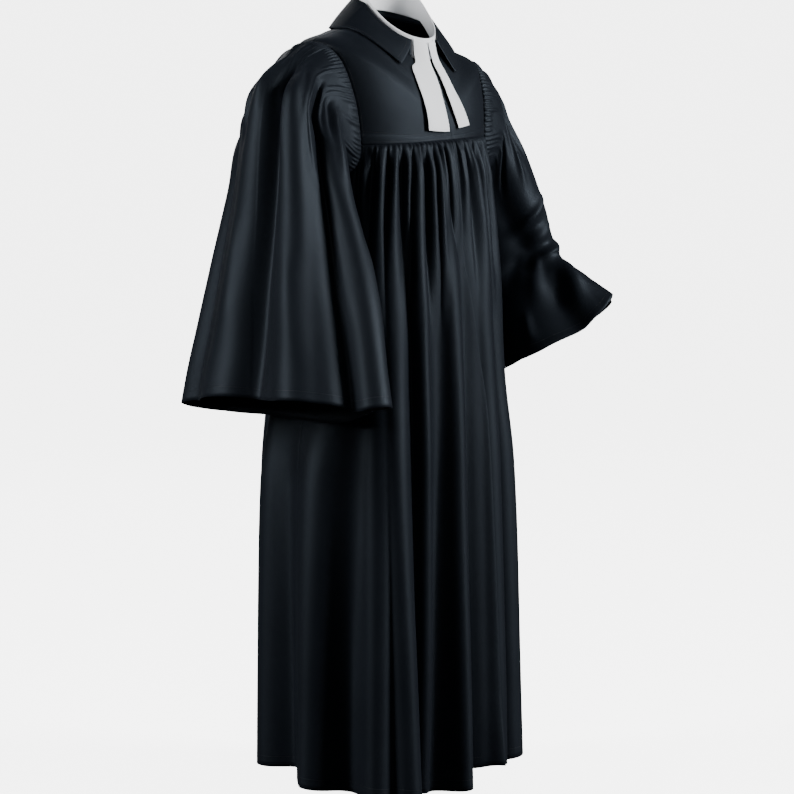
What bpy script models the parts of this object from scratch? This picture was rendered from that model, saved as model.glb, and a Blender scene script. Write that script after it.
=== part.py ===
"""Geneva gown with white neck bands, hollow and open, in the form it has when worn.

Metres, +Z up. The front faces -Y and the wearer's right is at -X. The origin is the
middle of the neck at shoulder level, where the wearer's shoulders carry the gown.
Every wall is cloth: an outer surface worked out from the levels below, and an inner
one a cloth's thickness behind it.
"""
import math

import bmesh
import bpy
import numpy as np

# Cloth and seams
CLOTH = 0.0020
SEAM_GAP = 0.0003
BAND_CLOTH = 0.0014

# Body: how far down the gown each level lies, and the ring's size there
LEVEL_COLUMNS = ("drop", "z_front", "z_side", "z_back", "half_width", "front", "back", "square",
                 "middle_y", "tilt")
LEVELS = (
    (0.000, -0.055, 0.020, 0.036, 0.076, 0.090, 0.074, 2.0, 0.000, 0.000),
    (0.040, -0.083, 0.006, 0.022, 0.100, 0.108, 0.092, 2.0, 0.004, -0.006),
    (0.080, -0.113, -0.012, -0.015, 0.145, 0.126, 0.110, 2.0, 0.012, -0.015),
    (0.120, -0.145, -0.034, -0.060, 0.198, 0.142, 0.124, 2.1, 0.018, -0.015),
    (0.160, -0.174, -0.110, -0.110, 0.204, 0.150, 0.130, 2.3, 0.020, -0.006),
    (0.200, -0.200, -0.200, -0.165, 0.199, 0.153, 0.137, 2.4, 0.021, 0.008),
    (0.285, -0.285, -0.285, -0.285, 0.190, 0.174, 0.153, 2.4, 0.022, 0.000),
    (0.360, -0.360, -0.360, -0.360, 0.192, 0.186, 0.165, 2.4, 0.023, 0.000),
    (0.500, -0.500, -0.500, -0.500, 0.202, 0.197, 0.175, 2.5, 0.024, 0.000),
    (0.650, -0.650, -0.650, -0.650, 0.212, 0.201, 0.181, 2.6, 0.025, 0.000),
    (0.820, -0.820, -0.820, -0.820, 0.236, 0.205, 0.186, 2.6, 0.024, 0.000),
    (1.000, -1.004, -0.998, -0.996, 0.242, 0.207, 0.187, 2.6, 0.021, 0.002),
    (1.400, -1.420, -1.390, -1.385, 0.246, 0.211, 0.186, 2.6, 0.016, 0.008),
)
SEAM_DROP = 0.200
TIP_DROP = 0.120
UNDERARM_DROP = 0.285
HEM_DROP = 1.400

# Front opening: its angle from straight ahead, towards the wearer's left
# Rows: drop, angle
OPENING = ((0.00, 0.0), (0.12, 5.0), (0.20, 7.5), (0.38, 6.5), (0.55, 13.0), (0.72, 20.0),
           (1.00, 21.5), (1.40, 22.5))

# Armholes: how far each swings forward and back of the side, in degrees
ARMHOLE_FRONT = 31.0
ARMHOLE_BACK = 29.0
ARMHOLE_ROUND = 0.8

# Large folds of the skirt: angle at yoke, at cuff level and at the hem, half width in
# degrees, height at cuff level and at the hem
FOLDS = {
    "right side": (-80.0, -76.0, -78.0, 8.5, 0.006, 0.026),
    "right side valley": (-62.0, -58.0, -63.0, 7.5, -0.008, -0.024),
    "right front outer": (-50.0, -47.0, -51.0, 4.5, 0.009, 0.020),
    "right front inner": (-41.0, -40.0, -41.0, 4.5, 0.012, 0.020),
    "right front hollow": (-33.0, -34.0, -28.0, 6.0, -0.009, -0.020),
    "right front short": (-27.0, -29.0, -24.0, 3.5, 0.013, 0.000),
    "right front middle": (-14.0, -12.5, -12.0, 5.0, 0.013, 0.020),
    "opening side hollow": (-3.0, -1.5, -1.5, 4.0, -0.010, -0.016),
    "opening strip": (9.0, 12.0, 10.0, 6.5, 0.011, 0.013),
    "opening hollow": (17.0, 22.0, 20.5, 3.5, -0.010, -0.020),
    "left front inner": (28.0, 32.0, 29.0, 5.5, 0.010, 0.016),
    "left front hollow": (40.0, 42.0, 40.0, 5.0, -0.008, -0.014),
    "left front outer": (52.0, 53.0, 52.0, 6.5, 0.008, 0.018),
    "left side hollow": (64.0, 64.0, 65.0, 6.0, -0.006, -0.018),
    "left side": (80.0, 78.0, 80.0, 8.0, 0.005, 0.021),
    "left back hollow": (95.0, 96.0, 95.0, 6.0, -0.006, -0.020),
    "left back outer": (108.0, 109.0, 109.0, 7.0, 0.010, 0.024),
    "left back valley": (121.0, 122.0, 122.0, 5.5, -0.009, -0.020),
    "left back inner": (134.0, 134.0, 136.0, 7.0, 0.013, 0.023),
    "back valley": (148.0, 149.0, 150.0, 6.0, -0.011, -0.022),
    "back middle": (163.0, 163.0, 165.0, 7.5, 0.014, 0.026),
    "back hollow": (178.0, 179.0, 180.0, 6.0, -0.012, -0.021),
    "right back middle": (193.0, 195.0, 195.0, 6.5, 0.013, 0.020),
    "right back valley": (207.0, 208.0, 208.0, 5.5, -0.011, -0.023),
    "right back inner": (220.0, 220.0, 221.0, 7.0, 0.016, 0.026),
    "right back hollow": (234.0, 234.0, 235.0, 6.0, -0.009, -0.019),
    "right back outer": (246.0, 247.0, 246.0, 6.5, 0.010, 0.018),
    "right rear hollow": (262.0, 264.0, 262.0, 6.0, -0.005, -0.018),
}

# Gathers under the yoke and pleats at the sleeve heads
FRONT_GATHERS = 20
BACK_GATHERS = 38
SLEEVE_PLEATS = 44
GATHER_HEIGHT = 0.0034
PLEAT_HEIGHT = 0.0036
RIPPLE_HEIGHT = 0.0048
RIPPLE_PITCH = 6.8
HEAD_CROWDING = 0.45

# Rows down each wall, as drops; below the coarse one a wall has half the columns
YOKE_ROWS = (0.0, 0.024, 0.050, 0.076, 0.100, 0.120, 0.132, 0.158, 0.200)
SKIRT_ROWS = (0.200, 0.208, 0.230, 0.262, 0.285, 0.335, 0.420, 0.520, 0.630, 0.750, 0.880,
              1.010, 1.140, 1.270, 1.400)
SKIRT_COARSE_FROM = 0.335

# Sleeves: middle, half width towards the outer side and half depth towards the front
SLEEVE_COLUMNS = ("along", "x", "y", "z", "out_x", "out_y", "out_z", "fore_x", "fore_y", "fore_z")
RIGHT_SLEEVE = (
    (0.075, -0.240, 0.012, -0.178, -0.034, 0.000, 0.120, 0.000, -0.108, 0.000),
    (0.140, -0.268, 0.001, -0.222, -0.058, 0.000, 0.116, 0.000, -0.127, 0.000),
    (0.215, -0.285, -0.009, -0.287, -0.068, 0.000, 0.086, 0.000, -0.147, -0.002),
    (0.310, -0.297, -0.019, -0.362, -0.077, 0.000, 0.036, 0.000, -0.172, 0.000),
    (0.450, -0.320, -0.038, -0.470, -0.090, 0.000, 0.004, 0.000, -0.202, 0.006),
    (0.555, -0.336, -0.051, -0.562, -0.094, 0.000, 0.004, 0.000, -0.222, 0.014),
    (0.680, -0.353, -0.064, -0.681, -0.101, 0.000, 0.013, 0.000, -0.246, 0.022),
)
LEFT_SLEEVE = (
    (0.075, 0.232, 0.019, -0.200, 0.028, 0.000, 0.100, 0.000, -0.090, 0.000),
    (0.140, 0.248, 0.026, -0.246, 0.043, 0.000, 0.093, 0.000, -0.096, 0.000),
    (0.215, 0.273, 0.031, -0.307, 0.061, 0.000, 0.073, 0.000, -0.110, 0.004),
    (0.310, 0.298, 0.036, -0.380, 0.078, 0.000, 0.030, 0.000, -0.129, 0.022),
    (0.430, 0.318, 0.028, -0.474, 0.086, 0.000, 0.004, 0.008, -0.144, 0.046),
    (0.520, 0.328, -0.014, -0.536, 0.094, 0.000, 0.004, 0.014, -0.166, 0.066),
    (0.620, 0.336, -0.066, -0.602, 0.102, 0.000, 0.006, 0.020, -0.166, 0.096),
)
SLEEVE_ROWS = {
    "right": (0.0, 0.006, 0.026, 0.052, 0.090, 0.140, 0.200, 0.275, 0.360, 0.440, 0.520, 0.600,
              0.680),
    "left": (0.0, 0.006, 0.026, 0.052, 0.090, 0.140, 0.200, 0.275, 0.345, 0.400, 0.440, 0.485,
             0.550, 0.620),
}
SLEEVE_COARSE_FROM = 0.026
HEAD_END = 0.075

# Sleeve folds: angle round the arm at head and cuff (0 outer side, 90 front), half width
# in degrees, height at head and cuff
SLEEVE_FOLDS = {
    "right": {
        "rear ridge": (-32.0, -27.0, 13.0, 0.006, 0.017),
        "outer hollow": (-4.0, -2.0, 10.0, -0.009, -0.020),
        "outer ridge": (18.0, 22.0, 13.0, 0.007, 0.020),
        "front hollow": (46.0, 50.0, 13.0, -0.010, -0.018),
        "front ridge": (80.0, 84.0, 14.0, 0.005, 0.016),
        "inner hollow": (118.0, 122.0, 14.0, -0.003, -0.012),
        "inner ridge": (165.0, 168.0, 16.0, 0.002, 0.006),
        "back hollow": (222.0, 226.0, 15.0, -0.005, -0.014),
        "back ridge": (272.0, 276.0, 15.0, 0.006, 0.016),
        "rear hollow": (300.0, 305.0, 12.0, -0.006, -0.015),
    },
    "left": {
        "rear ridge": (-36.0, -30.0, 14.0, 0.006, 0.014),
        "outer hollow": (-6.0, 0.0, 12.0, -0.008, -0.014),
        "outer ridge": (24.0, 30.0, 14.0, 0.007, 0.014),
        "front hollow": (58.0, 62.0, 12.0, -0.008, -0.010),
        "front ridge": (92.0, 92.0, 13.0, 0.005, 0.008),
        "inner hollow": (124.0, 122.0, 13.0, -0.004, -0.011),
        "inner ridge": (158.0, 156.0, 14.0, 0.003, 0.009),
        "under hollow": (196.0, 196.0, 14.0, -0.004, -0.012),
        "under ridge": (238.0, 240.0, 15.0, 0.006, 0.016),
        "back hollow": (284.0, 286.0, 14.0, -0.007, -0.015),
    },
}

# Creases across the bent elbow: place along the arm and angle round it, half length,
# half width in degrees, height
ELBOW_CREASES = (
    (0.372, 112.0, 0.014, 46.0, 0.007),
    (0.404, 120.0, 0.012, 52.0, -0.010),
    (0.438, 116.0, 0.014, 44.0, 0.008),
    (0.474, 128.0, 0.014, 40.0, -0.007),
)

# Collar: the fold line's ring, and where the fall ends on the yoke
FOLD_HALF_WIDTH = 0.077
FOLD_FRONT = 0.090
FOLD_BACK = 0.076
FOLD_Z_FRONT = -0.0195
FOLD_Z_SIDE = 0.055
FOLD_Z_BACK = 0.078
COLLAR_TOP_ANGLE = 23.0
COLLAR_POINT_ANGLE = 37.0
FALL_DROP = 0.066
FALL_LIFT = 0.0040
FALL_BULGE = 0.002
BAND_RISE = 0.010
BAND_DEPTH = 0.030
BAND_CLEAR = 0.0006

# White tabs: inner and outer edge to the wearer's left (+) of the middle at the top, the
# same at the bottom, and the bottom's drop
TABS = {
    "right": (0.0005, -0.029, 0.012, -0.042, 0.176),
    "left": (0.0035, 0.024, 0.037, 0.064, 0.170),
}
TAB_TOP = -0.038
TAB_LEAN = 0.16
TAB_LIFT = 0.0012

BLACK_CLOTH = ((0.012, 0.015, 0.021, 1.0), 0.55)
WHITE_CLOTH = ((0.86, 0.89, 0.93, 1.0), 0.62)


def clear_scene():
    """Remove every object that the file opened with."""
    for old in list(bpy.data.objects):
        bpy.data.objects.remove(old, do_unlink=True)


def ease(value):
    """Smooth step from 0 to 1."""
    value = np.clip(value, 0.0, 1.0)
    return value * value * (3.0 - 2.0 * value)


def curve_through(rows, column, places):
    """Monotone cubic through one column of a table whose first column is the place."""
    knots = np.array([row[0] for row in rows])
    values = np.array([row[column] for row in rows])
    steps = np.diff(knots)
    slopes = np.diff(values) / steps
    tangents = np.zeros(len(knots))
    tangents[0] = slopes[0]
    tangents[-1] = slopes[-1]
    same_way = slopes[:-1] * slopes[1:] > 0
    product = slopes[:-1] * slopes[1:]
    total = np.where(same_way, slopes[:-1] + slopes[1:], 1.0)
    tangents[1:-1] = np.where(same_way, 2.0 * product / total, 0.0)
    places = np.clip(np.asarray(places, float), knots[0], knots[-1])
    spot = np.clip(np.searchsorted(knots, places, side="right") - 1, 0, len(steps) - 1)
    part = (places - knots[spot]) / steps[spot]
    square = part * part
    cube = square * part
    return (values[spot] * (2 * cube - 3 * square + 1)
            + values[spot + 1] * (3 * square - 2 * cube)
            + tangents[spot] * steps[spot] * (cube - 2 * square + part)
            + tangents[spot + 1] * steps[spot] * (cube - square))


def unit(vectors):
    """Vectors of length one."""
    return vectors / np.maximum(np.linalg.norm(vectors, axis=-1, keepdims=True), 1e-12)


def body_base(angle, drop):
    """Point of the unfolded gown at an angle from straight ahead, in degrees."""
    angle, drop = np.broadcast_arrays(np.asarray(angle, float), np.asarray(drop, float))
    turn = np.radians(angle)
    side = np.sin(turn)
    ahead = np.cos(turn)
    z_front, z_side, z_back, half_width, front, back, square, middle_y, tilt = (
        curve_through(LEVELS, LEVEL_COLUMNS.index(name), drop) for name in LEVEL_COLUMNS[1:])
    depth = np.where(ahead > 0, front, back)
    radius = ((np.abs(side) / half_width) ** square
              + (np.abs(ahead) / depth) ** square) ** (-1.0 / square)
    z_ahead = np.where(ahead > 0, z_front, z_back)
    z = z_side + (z_ahead - z_side) * ahead * ahead
    return np.stack([radius * side, middle_y - radius * ahead, z + tilt * side], axis=-1)


def body_normal(angle, drop):
    """Outward direction of the unfolded gown."""
    across = body_base(angle + 0.5, drop) - body_base(angle - 0.5, drop)
    down = body_base(angle, drop + 0.004) - body_base(angle, drop - 0.004)
    edge = body_base(angle, np.maximum(drop, 0.004)) - body_base(angle, np.maximum(drop, 0.004) - 0.004)
    down = np.where(np.linalg.norm(down, axis=-1, keepdims=True) > 1e-9, down, edge)
    return unit(np.cross(down, across))


def armhole_angle(drop, swing):
    """Degrees that the armhole's edge lies forward or back of the side at a drop."""
    middle = 0.5 * (TIP_DROP + UNDERARM_DROP)
    half = 0.5 * (UNDERARM_DROP - TIP_DROP)
    level = np.clip((middle - drop) / half, -1.0, 1.0)
    return swing * np.sqrt(1.0 - level * level) ** ARMHOLE_ROUND


def front_edge(drop):
    """Angle of the front panels' outer edge: shoulder seam, armhole, side seam."""
    return 90.0 - armhole_angle(drop, ARMHOLE_FRONT)


def back_edge(drop):
    """Angle of the back panels' outer edge."""
    return 90.0 + armhole_angle(drop, ARMHOLE_BACK)


def armhole_fade(angle, drop):
    """0 at the armhole's edge, 1 well away from it."""
    away = np.abs((angle + 180.0) % 360.0 - 180.0)
    swing = np.where(away < 90.0, ARMHOLE_FRONT, ARMHOLE_BACK)
    middle = 0.5 * (TIP_DROP + UNDERARM_DROP)
    half = 0.5 * (UNDERARM_DROP - TIP_DROP)
    reach = np.hypot((away - 90.0) / swing, (drop - middle) / half)
    return ease((reach - 1.0) / 0.3)


def body_fold(angle, drop):
    """Height of the large folds and ripples over the unfolded gown."""
    height = np.zeros_like(angle)
    for yoke, cuff, hem, half_width, cuff_height, hem_height in FOLDS.values():
        course = ((SEAM_DROP, yoke), (0.72, cuff), (HEM_DROP, hem))
        rise = ((SEAM_DROP, 0.0), (0.30, 0.25 * cuff_height), (0.72, cuff_height),
                (1.05, 0.5 * (cuff_height + hem_height)), (HEM_DROP, hem_height))
        away = (angle - curve_through(course, 1, drop) + 180.0) % 360.0 - 180.0
        height = height + curve_through(rise, 1, drop) * np.exp(-(away / half_width) ** 2)
    swell = ease((drop - SEAM_DROP) / 0.05) * (1.0 - ease((drop - 0.34) / 0.45))
    phase = 2.0 * np.pi * angle / RIPPLE_PITCH + 1.3 * np.sin(np.radians(angle * 3.1) + 0.4)
    ripple = np.sin(phase + 2.2 * np.sin(drop * 6.0)) * (0.75 + 0.25 * np.cos(np.radians(angle * 5.0)))
    height = height + RIPPLE_HEIGHT * swell * ripple
    away = np.abs((angle + 180.0) % 360.0 - 180.0)
    pressed = np.exp(-((away - 90.0) / 30.0) ** 2) * (1.0 - ease((drop - 0.70) / 0.16))
    return height * (1.0 - 0.85 * pressed) * armhole_fade(angle, drop)


def gather_teeth(count, columns, drop, height, start, end):
    """Heights of fine gathers along one row: ridges at the odd columns."""
    if columns < 2 * count:
        return np.zeros(columns + 1)
    fade = float(ease((drop - start) / 0.010) * (1.0 - ease((drop - start - 0.03) / (end - start))))
    index = np.arange(columns + 1)
    uneven = 0.82 + 0.18 * np.sin(index * 1.7)
    return np.where(index % 2 == 1, height * fade * uneven, 0.0)


def pull_in(points):
    """Move a row's end points half a seam's gap into the panel."""
    points = points.copy()
    points[0] = points[0] + unit(points[1] - points[0]) * SEAM_GAP * 0.5
    points[-1] = points[-1] + unit(points[-2] - points[-1]) * SEAM_GAP * 0.5
    return points


def wall_rows(outer, normals, thick, seamed_below):
    """Outer and inner rows of a wall, drawn in by half a seam's gap at its seams."""
    outer = [pull_in(row) for row in outer]
    outer[0] = outer[0] + nearest_way(outer[1], outer[0]) * SEAM_GAP * 0.5
    if seamed_below:
        outer[-1] = outer[-1] + nearest_way(outer[-2], outer[-1]) * SEAM_GAP * 0.5
    inner = [row - normal * thick for row, normal in zip(outer, normals)]
    return outer, inner


def nearest_way(inside, edge):
    """Directions from an edge row to the row inside it, whatever their counts."""
    if len(inside) != len(edge):
        places = np.linspace(0.0, 1.0, len(edge))
        known = np.linspace(0.0, 1.0, len(inside))
        inside = np.stack([np.interp(places, known, inside[:, k]) for k in range(3)], axis=-1)
    return unit(inside - edge)


def strip_faces(first, second, closed):
    """Triangles between two rows; the second may have half the first's columns."""
    faces = []
    spans_a = len(first) if closed else len(first) - 1
    spans_b = len(second) if closed else len(second) - 1
    if spans_a == spans_b:
        for k in range(spans_a):
            a0, a1 = first[k], first[(k + 1) % len(first)]
            b0, b1 = second[k], second[(k + 1) % len(second)]
            if k % 2:
                faces += [(a0, a1, b1), (a0, b1, b0)]
            else:
                faces += [(a0, a1, b0), (a1, b1, b0)]
        return faces
    for k in range(spans_b):
        a0, a1 = first[2 * k], first[2 * k + 1]
        a2 = first[(2 * k + 2) % len(first)]
        b0, b1 = second[k], second[(k + 1) % len(second)]
        faces += [(a0, a1, b0), (a1, b1, b0), (a1, a2, b1)]
    return faces


def make_material(name, finish):
    """Plain surface with the cloth's colour."""
    colour, roughness = finish
    material = bpy.data.materials.new(name)
    material.use_nodes = True
    surface = material.node_tree.nodes["Principled BSDF"]
    surface.inputs["Base Color"].default_value = colour
    surface.inputs["Roughness"].default_value = roughness
    surface.inputs["Metallic"].default_value = 0.0
    return material


def cloth_wall(name, outer, inner, material, closed=False):
    """One closed solid from the rows of a wall's two faces."""
    points = []
    outer_rows = []
    inner_rows = []
    for rows, store in ((outer, outer_rows), (inner, inner_rows)):
        for row in rows:
            store.append(list(range(len(points), len(points) + len(row))))
            points.extend(row)
    faces = []
    for k in range(len(outer_rows) - 1):
        faces += strip_faces(outer_rows[k], outer_rows[k + 1], closed)
        faces += [face[::-1] for face in strip_faces(inner_rows[k], inner_rows[k + 1], closed)]
    faces += strip_faces(inner_rows[0], outer_rows[0], closed)
    faces += strip_faces(outer_rows[-1], inner_rows[-1], closed)
    if not closed:
        for column, flip in ((0, False), (-1, True)):
            side = strip_faces([row[column] for row in outer_rows],
                               [row[column] for row in inner_rows], False)
            faces += [face[::-1] for face in side] if flip else side
    mesh = bpy.data.meshes.new(name)
    work = bmesh.new()
    corners = [work.verts.new(tuple(map(float, point))) for point in points]
    for face in faces:
        work.faces.new([corners[index] for index in face])
    bmesh.ops.recalc_face_normals(work, faces=work.faces)
    work.to_mesh(mesh)
    work.free()
    mesh.shade_smooth()
    mesh.set_sharp_from_angle(angle=math.radians(50))
    piece = bpy.data.objects.new(name, mesh)
    mesh.materials.append(material)
    bpy.context.collection.objects.link(piece)
    return piece


def body_wall(name, rows, starts, ends, columns_for, teeth, material):
    """Panel of the gown's body between two edge lines, with its folds."""
    outer = []
    normals = []
    for drop in rows:
        columns = columns_for(drop)
        angle = np.linspace(float(starts(drop)), float(ends(drop)), columns + 1)
        height = body_fold(angle, drop) if drop > SEAM_DROP else np.zeros(columns + 1)
        height = height + teeth(drop, columns) * armhole_fade(angle, drop)
        normal = body_normal(angle, np.full(columns + 1, drop))
        outer.append(body_base(angle, drop) + normal * height[:, None])
        normals.append(normal)
    outer, inner = wall_rows(outer, normals, CLOTH, seamed_below=rows[-1] < HEM_DROP)
    return cloth_wall(name, outer, inner, material)


def opening_angle(drop):
    """Angle of the front opening's edge."""
    return curve_through(OPENING, 1, drop)


def no_teeth(drop, columns):
    """A smooth panel."""
    return np.zeros(columns + 1)


def make_yoke(black):
    """Two front yokes and one back yoke, smooth over the shoulders."""
    body_wall("yoke_front_left", YOKE_ROWS, opening_angle, front_edge,
              lambda drop: 8, no_teeth, black)
    body_wall("yoke_front_right", YOKE_ROWS, opening_angle, lambda drop: -front_edge(drop),
              lambda drop: 8, no_teeth, black)
    body_wall("yoke_back", YOKE_ROWS, back_edge, lambda drop: 360.0 - back_edge(drop),
              lambda drop: 16, no_teeth, black)


def make_skirt(black):
    """Two gathered fronts and the gathered back, from the yoke to the hem."""
    def columns_for(gathers):
        return lambda drop: 2 * gathers if drop <= SKIRT_COARSE_FROM else gathers

    def teeth(gathers):
        return lambda drop, columns: gather_teeth(
            gathers, columns, drop, GATHER_HEIGHT, SEAM_DROP, SEAM_DROP + 0.12)

    body_wall("front_left", SKIRT_ROWS, opening_angle, front_edge,
              columns_for(FRONT_GATHERS), teeth(FRONT_GATHERS), black)
    body_wall("front_right", SKIRT_ROWS, opening_angle, lambda drop: -front_edge(drop),
              columns_for(FRONT_GATHERS), teeth(FRONT_GATHERS), black)
    body_wall("back", SKIRT_ROWS, back_edge, lambda drop: 360.0 - back_edge(drop),
              columns_for(BACK_GATHERS), teeth(BACK_GATHERS), black)


def armhole_point(side, around):
    """Point and outward direction of the armhole's edge; around is in degrees."""
    turn = np.radians(around)
    middle = 0.5 * (TIP_DROP + UNDERARM_DROP)
    half = 0.5 * (UNDERARM_DROP - TIP_DROP)
    drop = middle - half * np.cos(turn)
    forward = np.sin(turn)
    swing = np.where(forward > 0, -ARMHOLE_FRONT, ARMHOLE_BACK)
    angle = side * (90.0 + swing * np.abs(forward) ** ARMHOLE_ROUND)
    return body_base(angle, drop), body_normal(angle, drop)


def sleeve_ring(table, around, along):
    """Point of the unfolded sleeve below its head."""
    turn = np.radians(around)
    values = [curve_through(table, column, along) for column in range(1, len(SLEEVE_COLUMNS))]
    middle = np.stack(values[0:3], axis=-1)
    out = np.stack(values[3:6], axis=-1)
    fore = np.stack(values[6:9], axis=-1)
    return middle + out * np.cos(turn)[..., None] + fore * np.sin(turn)[..., None]


def sleeve_base(side, table, around, along):
    """Point of the unfolded sleeve, from the armhole's edge to the cuff."""
    around, along = np.broadcast_arrays(np.asarray(around, float), np.asarray(along, float))
    start, normal = armhole_point(side, around)
    start = start + normal * SEAM_GAP
    end = sleeve_ring(table, around, np.full_like(along, HEAD_END))
    reach = np.linalg.norm(end - start, axis=-1, keepdims=True)
    leave = unit(normal * 0.5 + np.array([side * 0.8, 0.0, -0.1])) * reach
    ahead = sleeve_ring(table, around, np.full_like(along, HEAD_END + 0.01))
    arrive = (ahead - end) / 0.01 * HEAD_END
    part = np.clip(along / HEAD_END, 0.0, 1.0)[..., None]
    head = (start * (2 * part ** 3 - 3 * part ** 2 + 1) + leave * (part ** 3 - 2 * part ** 2 + part)
            + end * (3 * part ** 2 - 2 * part ** 3) + arrive * (part ** 3 - part ** 2))
    return np.where(along[..., None] < HEAD_END, head, sleeve_ring(table, around, along))


def sleeve_fold(name, around, along, length):
    """Height of the large folds and the elbow's creases over the unfolded sleeve."""
    height = np.zeros_like(around)
    for head, cuff, half_width, head_height, cuff_height in SLEEVE_FOLDS[name].values():
        part = along / length
        away = (around - (head + (cuff - head) * part) + 180.0) % 360.0 - 180.0
        rise = (head_height + (cuff_height - head_height) * part) * ease((along - 0.03) / 0.10)
        height = height + rise * np.exp(-(away / half_width) ** 2)
    if name == "left":
        for place, angle, half_length, half_angle, rise in ELBOW_CREASES:
            away = (around - angle + 180.0) % 360.0 - 180.0
            height = height + rise * np.exp(-((along - place) / half_length) ** 2
                                            - (away / half_angle) ** 2)
    return height


def make_sleeve(name, side, table, black):
    """Bell sleeve hung from its pleated head."""
    rows = SLEEVE_ROWS[name]
    outer = []
    normals = []
    for along in rows:
        columns = 2 * SLEEVE_PLEATS if along <= SLEEVE_COARSE_FROM else SLEEVE_PLEATS
        even = np.arange(columns) * 360.0 / columns
        around = even - math.degrees(HEAD_CROWDING) * np.sin(np.radians(even))
        place = np.full(columns, along)
        step = 0.5
        reach = 0.002
        across = (sleeve_base(side, table, around + step, place)
                  - sleeve_base(side, table, around - step, place))
        down = (sleeve_base(side, table, around, place + reach)
                - sleeve_base(side, table, around, np.maximum(place - reach, 0.0)))
        normal = unit(np.cross(down, across)) * -side
        if along == 0.0:
            rim = armhole_point(side, around)[1]
            normal = unit(normal - rim * np.sum(normal * rim, axis=-1, keepdims=True))
        cap = ease((np.cos(np.radians(around)) + 0.75) / 0.7)
        teeth = np.zeros(columns)
        if columns == 2 * SLEEVE_PLEATS:
            fade = float(ease(along / 0.006) * (1.0 - ease((along - 0.028) / 0.05)))
            teeth[1::2] = PLEAT_HEIGHT * fade
        height = sleeve_fold(name, around, place, rows[-1]) + teeth * cap
        outer.append(sleeve_base(side, table, around, place) + normal * height[:, None])
        normals.append(normal)
    inner = [row - normal * CLOTH for row, normal in zip(outer, normals)]
    return cloth_wall("sleeve_" + name, outer, inner, black, closed=True)


def collar_ring(angle, inset=0.0, rise=0.0):
    """Point of the collar's fold line, drawn in and raised."""
    turn = np.radians(angle)
    side = np.sin(turn)
    ahead = np.cos(turn)
    depth = np.where(ahead > 0, FOLD_FRONT, FOLD_BACK)
    radius = 1.0 / np.sqrt((side / FOLD_HALF_WIDTH) ** 2 + (ahead / depth) ** 2) - inset
    z_ahead = np.where(ahead > 0, FOLD_Z_FRONT, FOLD_Z_BACK)
    z = FOLD_Z_SIDE + (z_ahead - FOLD_Z_SIDE) * np.abs(ahead)
    return np.stack([radius * side, -radius * ahead, z + rise], axis=-1)


def numeric_normals(rows):
    """Outward directions of a grid of points that runs round the neck, then down."""
    grid = np.stack(rows)
    down = np.gradient(grid, axis=0)
    across = np.gradient(grid, axis=1)
    normal = unit(np.cross(down, across))
    outward = grid * np.array([1.0, 1.0, 0.0])
    flip = np.sign(np.sum(normal * outward))
    return list(normal * flip)


def round_neck(start, columns):
    """Angles from the right front round the back to the left front."""
    return -(start + np.linspace(0.0, 1.0, columns + 1) * (360.0 - 2.0 * start))


def make_collar(black):
    """Standing part of the collar, and the fall turned down over it."""
    columns = 28
    rows = []
    for part in np.linspace(0.0, 1.0, 3):
        angle = round_neck(COLLAR_TOP_ANGLE, columns)
        foot = body_base(angle, 0.0) + body_normal(angle, np.zeros(columns + 1)) * SEAM_GAP
        top = collar_ring(angle, inset=CLOTH + SEAM_GAP, rise=-0.002)
        rows.append(foot + (top - foot) * part)
    normals = numeric_normals(rows)
    inner = [row - normal * CLOTH for row, normal in zip(rows, normals)]
    cloth_wall("collar_stand", rows, inner, black)
    rows = []
    for part in (0.0, 0.15, 0.42, 0.72, 1.0):
        start = COLLAR_TOP_ANGLE + (COLLAR_POINT_ANGLE - COLLAR_TOP_ANGLE) * part
        angle = round_neck(start, columns)
        top = collar_ring(angle)
        foot = body_base(angle, FALL_DROP)
        lift = body_normal(angle, np.full(columns + 1, FALL_DROP))
        outward = unit((foot - top) * np.array([1.0, 1.0, 0.0])) + np.array([0.0, 0.0, 0.6])
        bulge = FALL_BULGE * 4.0 * part * (1.0 - part)
        rows.append(top + (foot + lift * FALL_LIFT - top) * part + outward * bulge)
    normals = numeric_normals(rows)
    inner = [row - normal * CLOTH for row, normal in zip(rows, normals)]
    cloth_wall("collar_fall", rows, inner, black)


def make_neckband(white):
    """White band that stands inside the collar and shows above it."""
    columns = 32
    angle = np.arange(columns) * 360.0 / columns
    inset = 2.0 * (CLOTH + SEAM_GAP) + BAND_CLEAR
    rows = []
    for part in (0.0, 0.5, 1.0):
        rows.append(collar_ring(angle, inset=inset, rise=BAND_RISE - part * (BAND_RISE + BAND_DEPTH)))
    inner = []
    for part in (0.0, 0.5, 1.0):
        inner.append(collar_ring(angle, inset=inset + BAND_CLOTH,
                                 rise=BAND_RISE - part * (BAND_RISE + BAND_DEPTH)))
    cloth_wall("neckband_white", rows, inner, white, closed=True)


def tab_base(angle, drop):
    """Surface that a tab lies on: the yoke, and above it the front of the neckband."""
    over = np.maximum(-drop, 0.0)
    return (body_base(angle, np.maximum(drop, 0.0))
            + np.stack([0.0 * over, TAB_LEAN * over, over], axis=-1))


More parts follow.
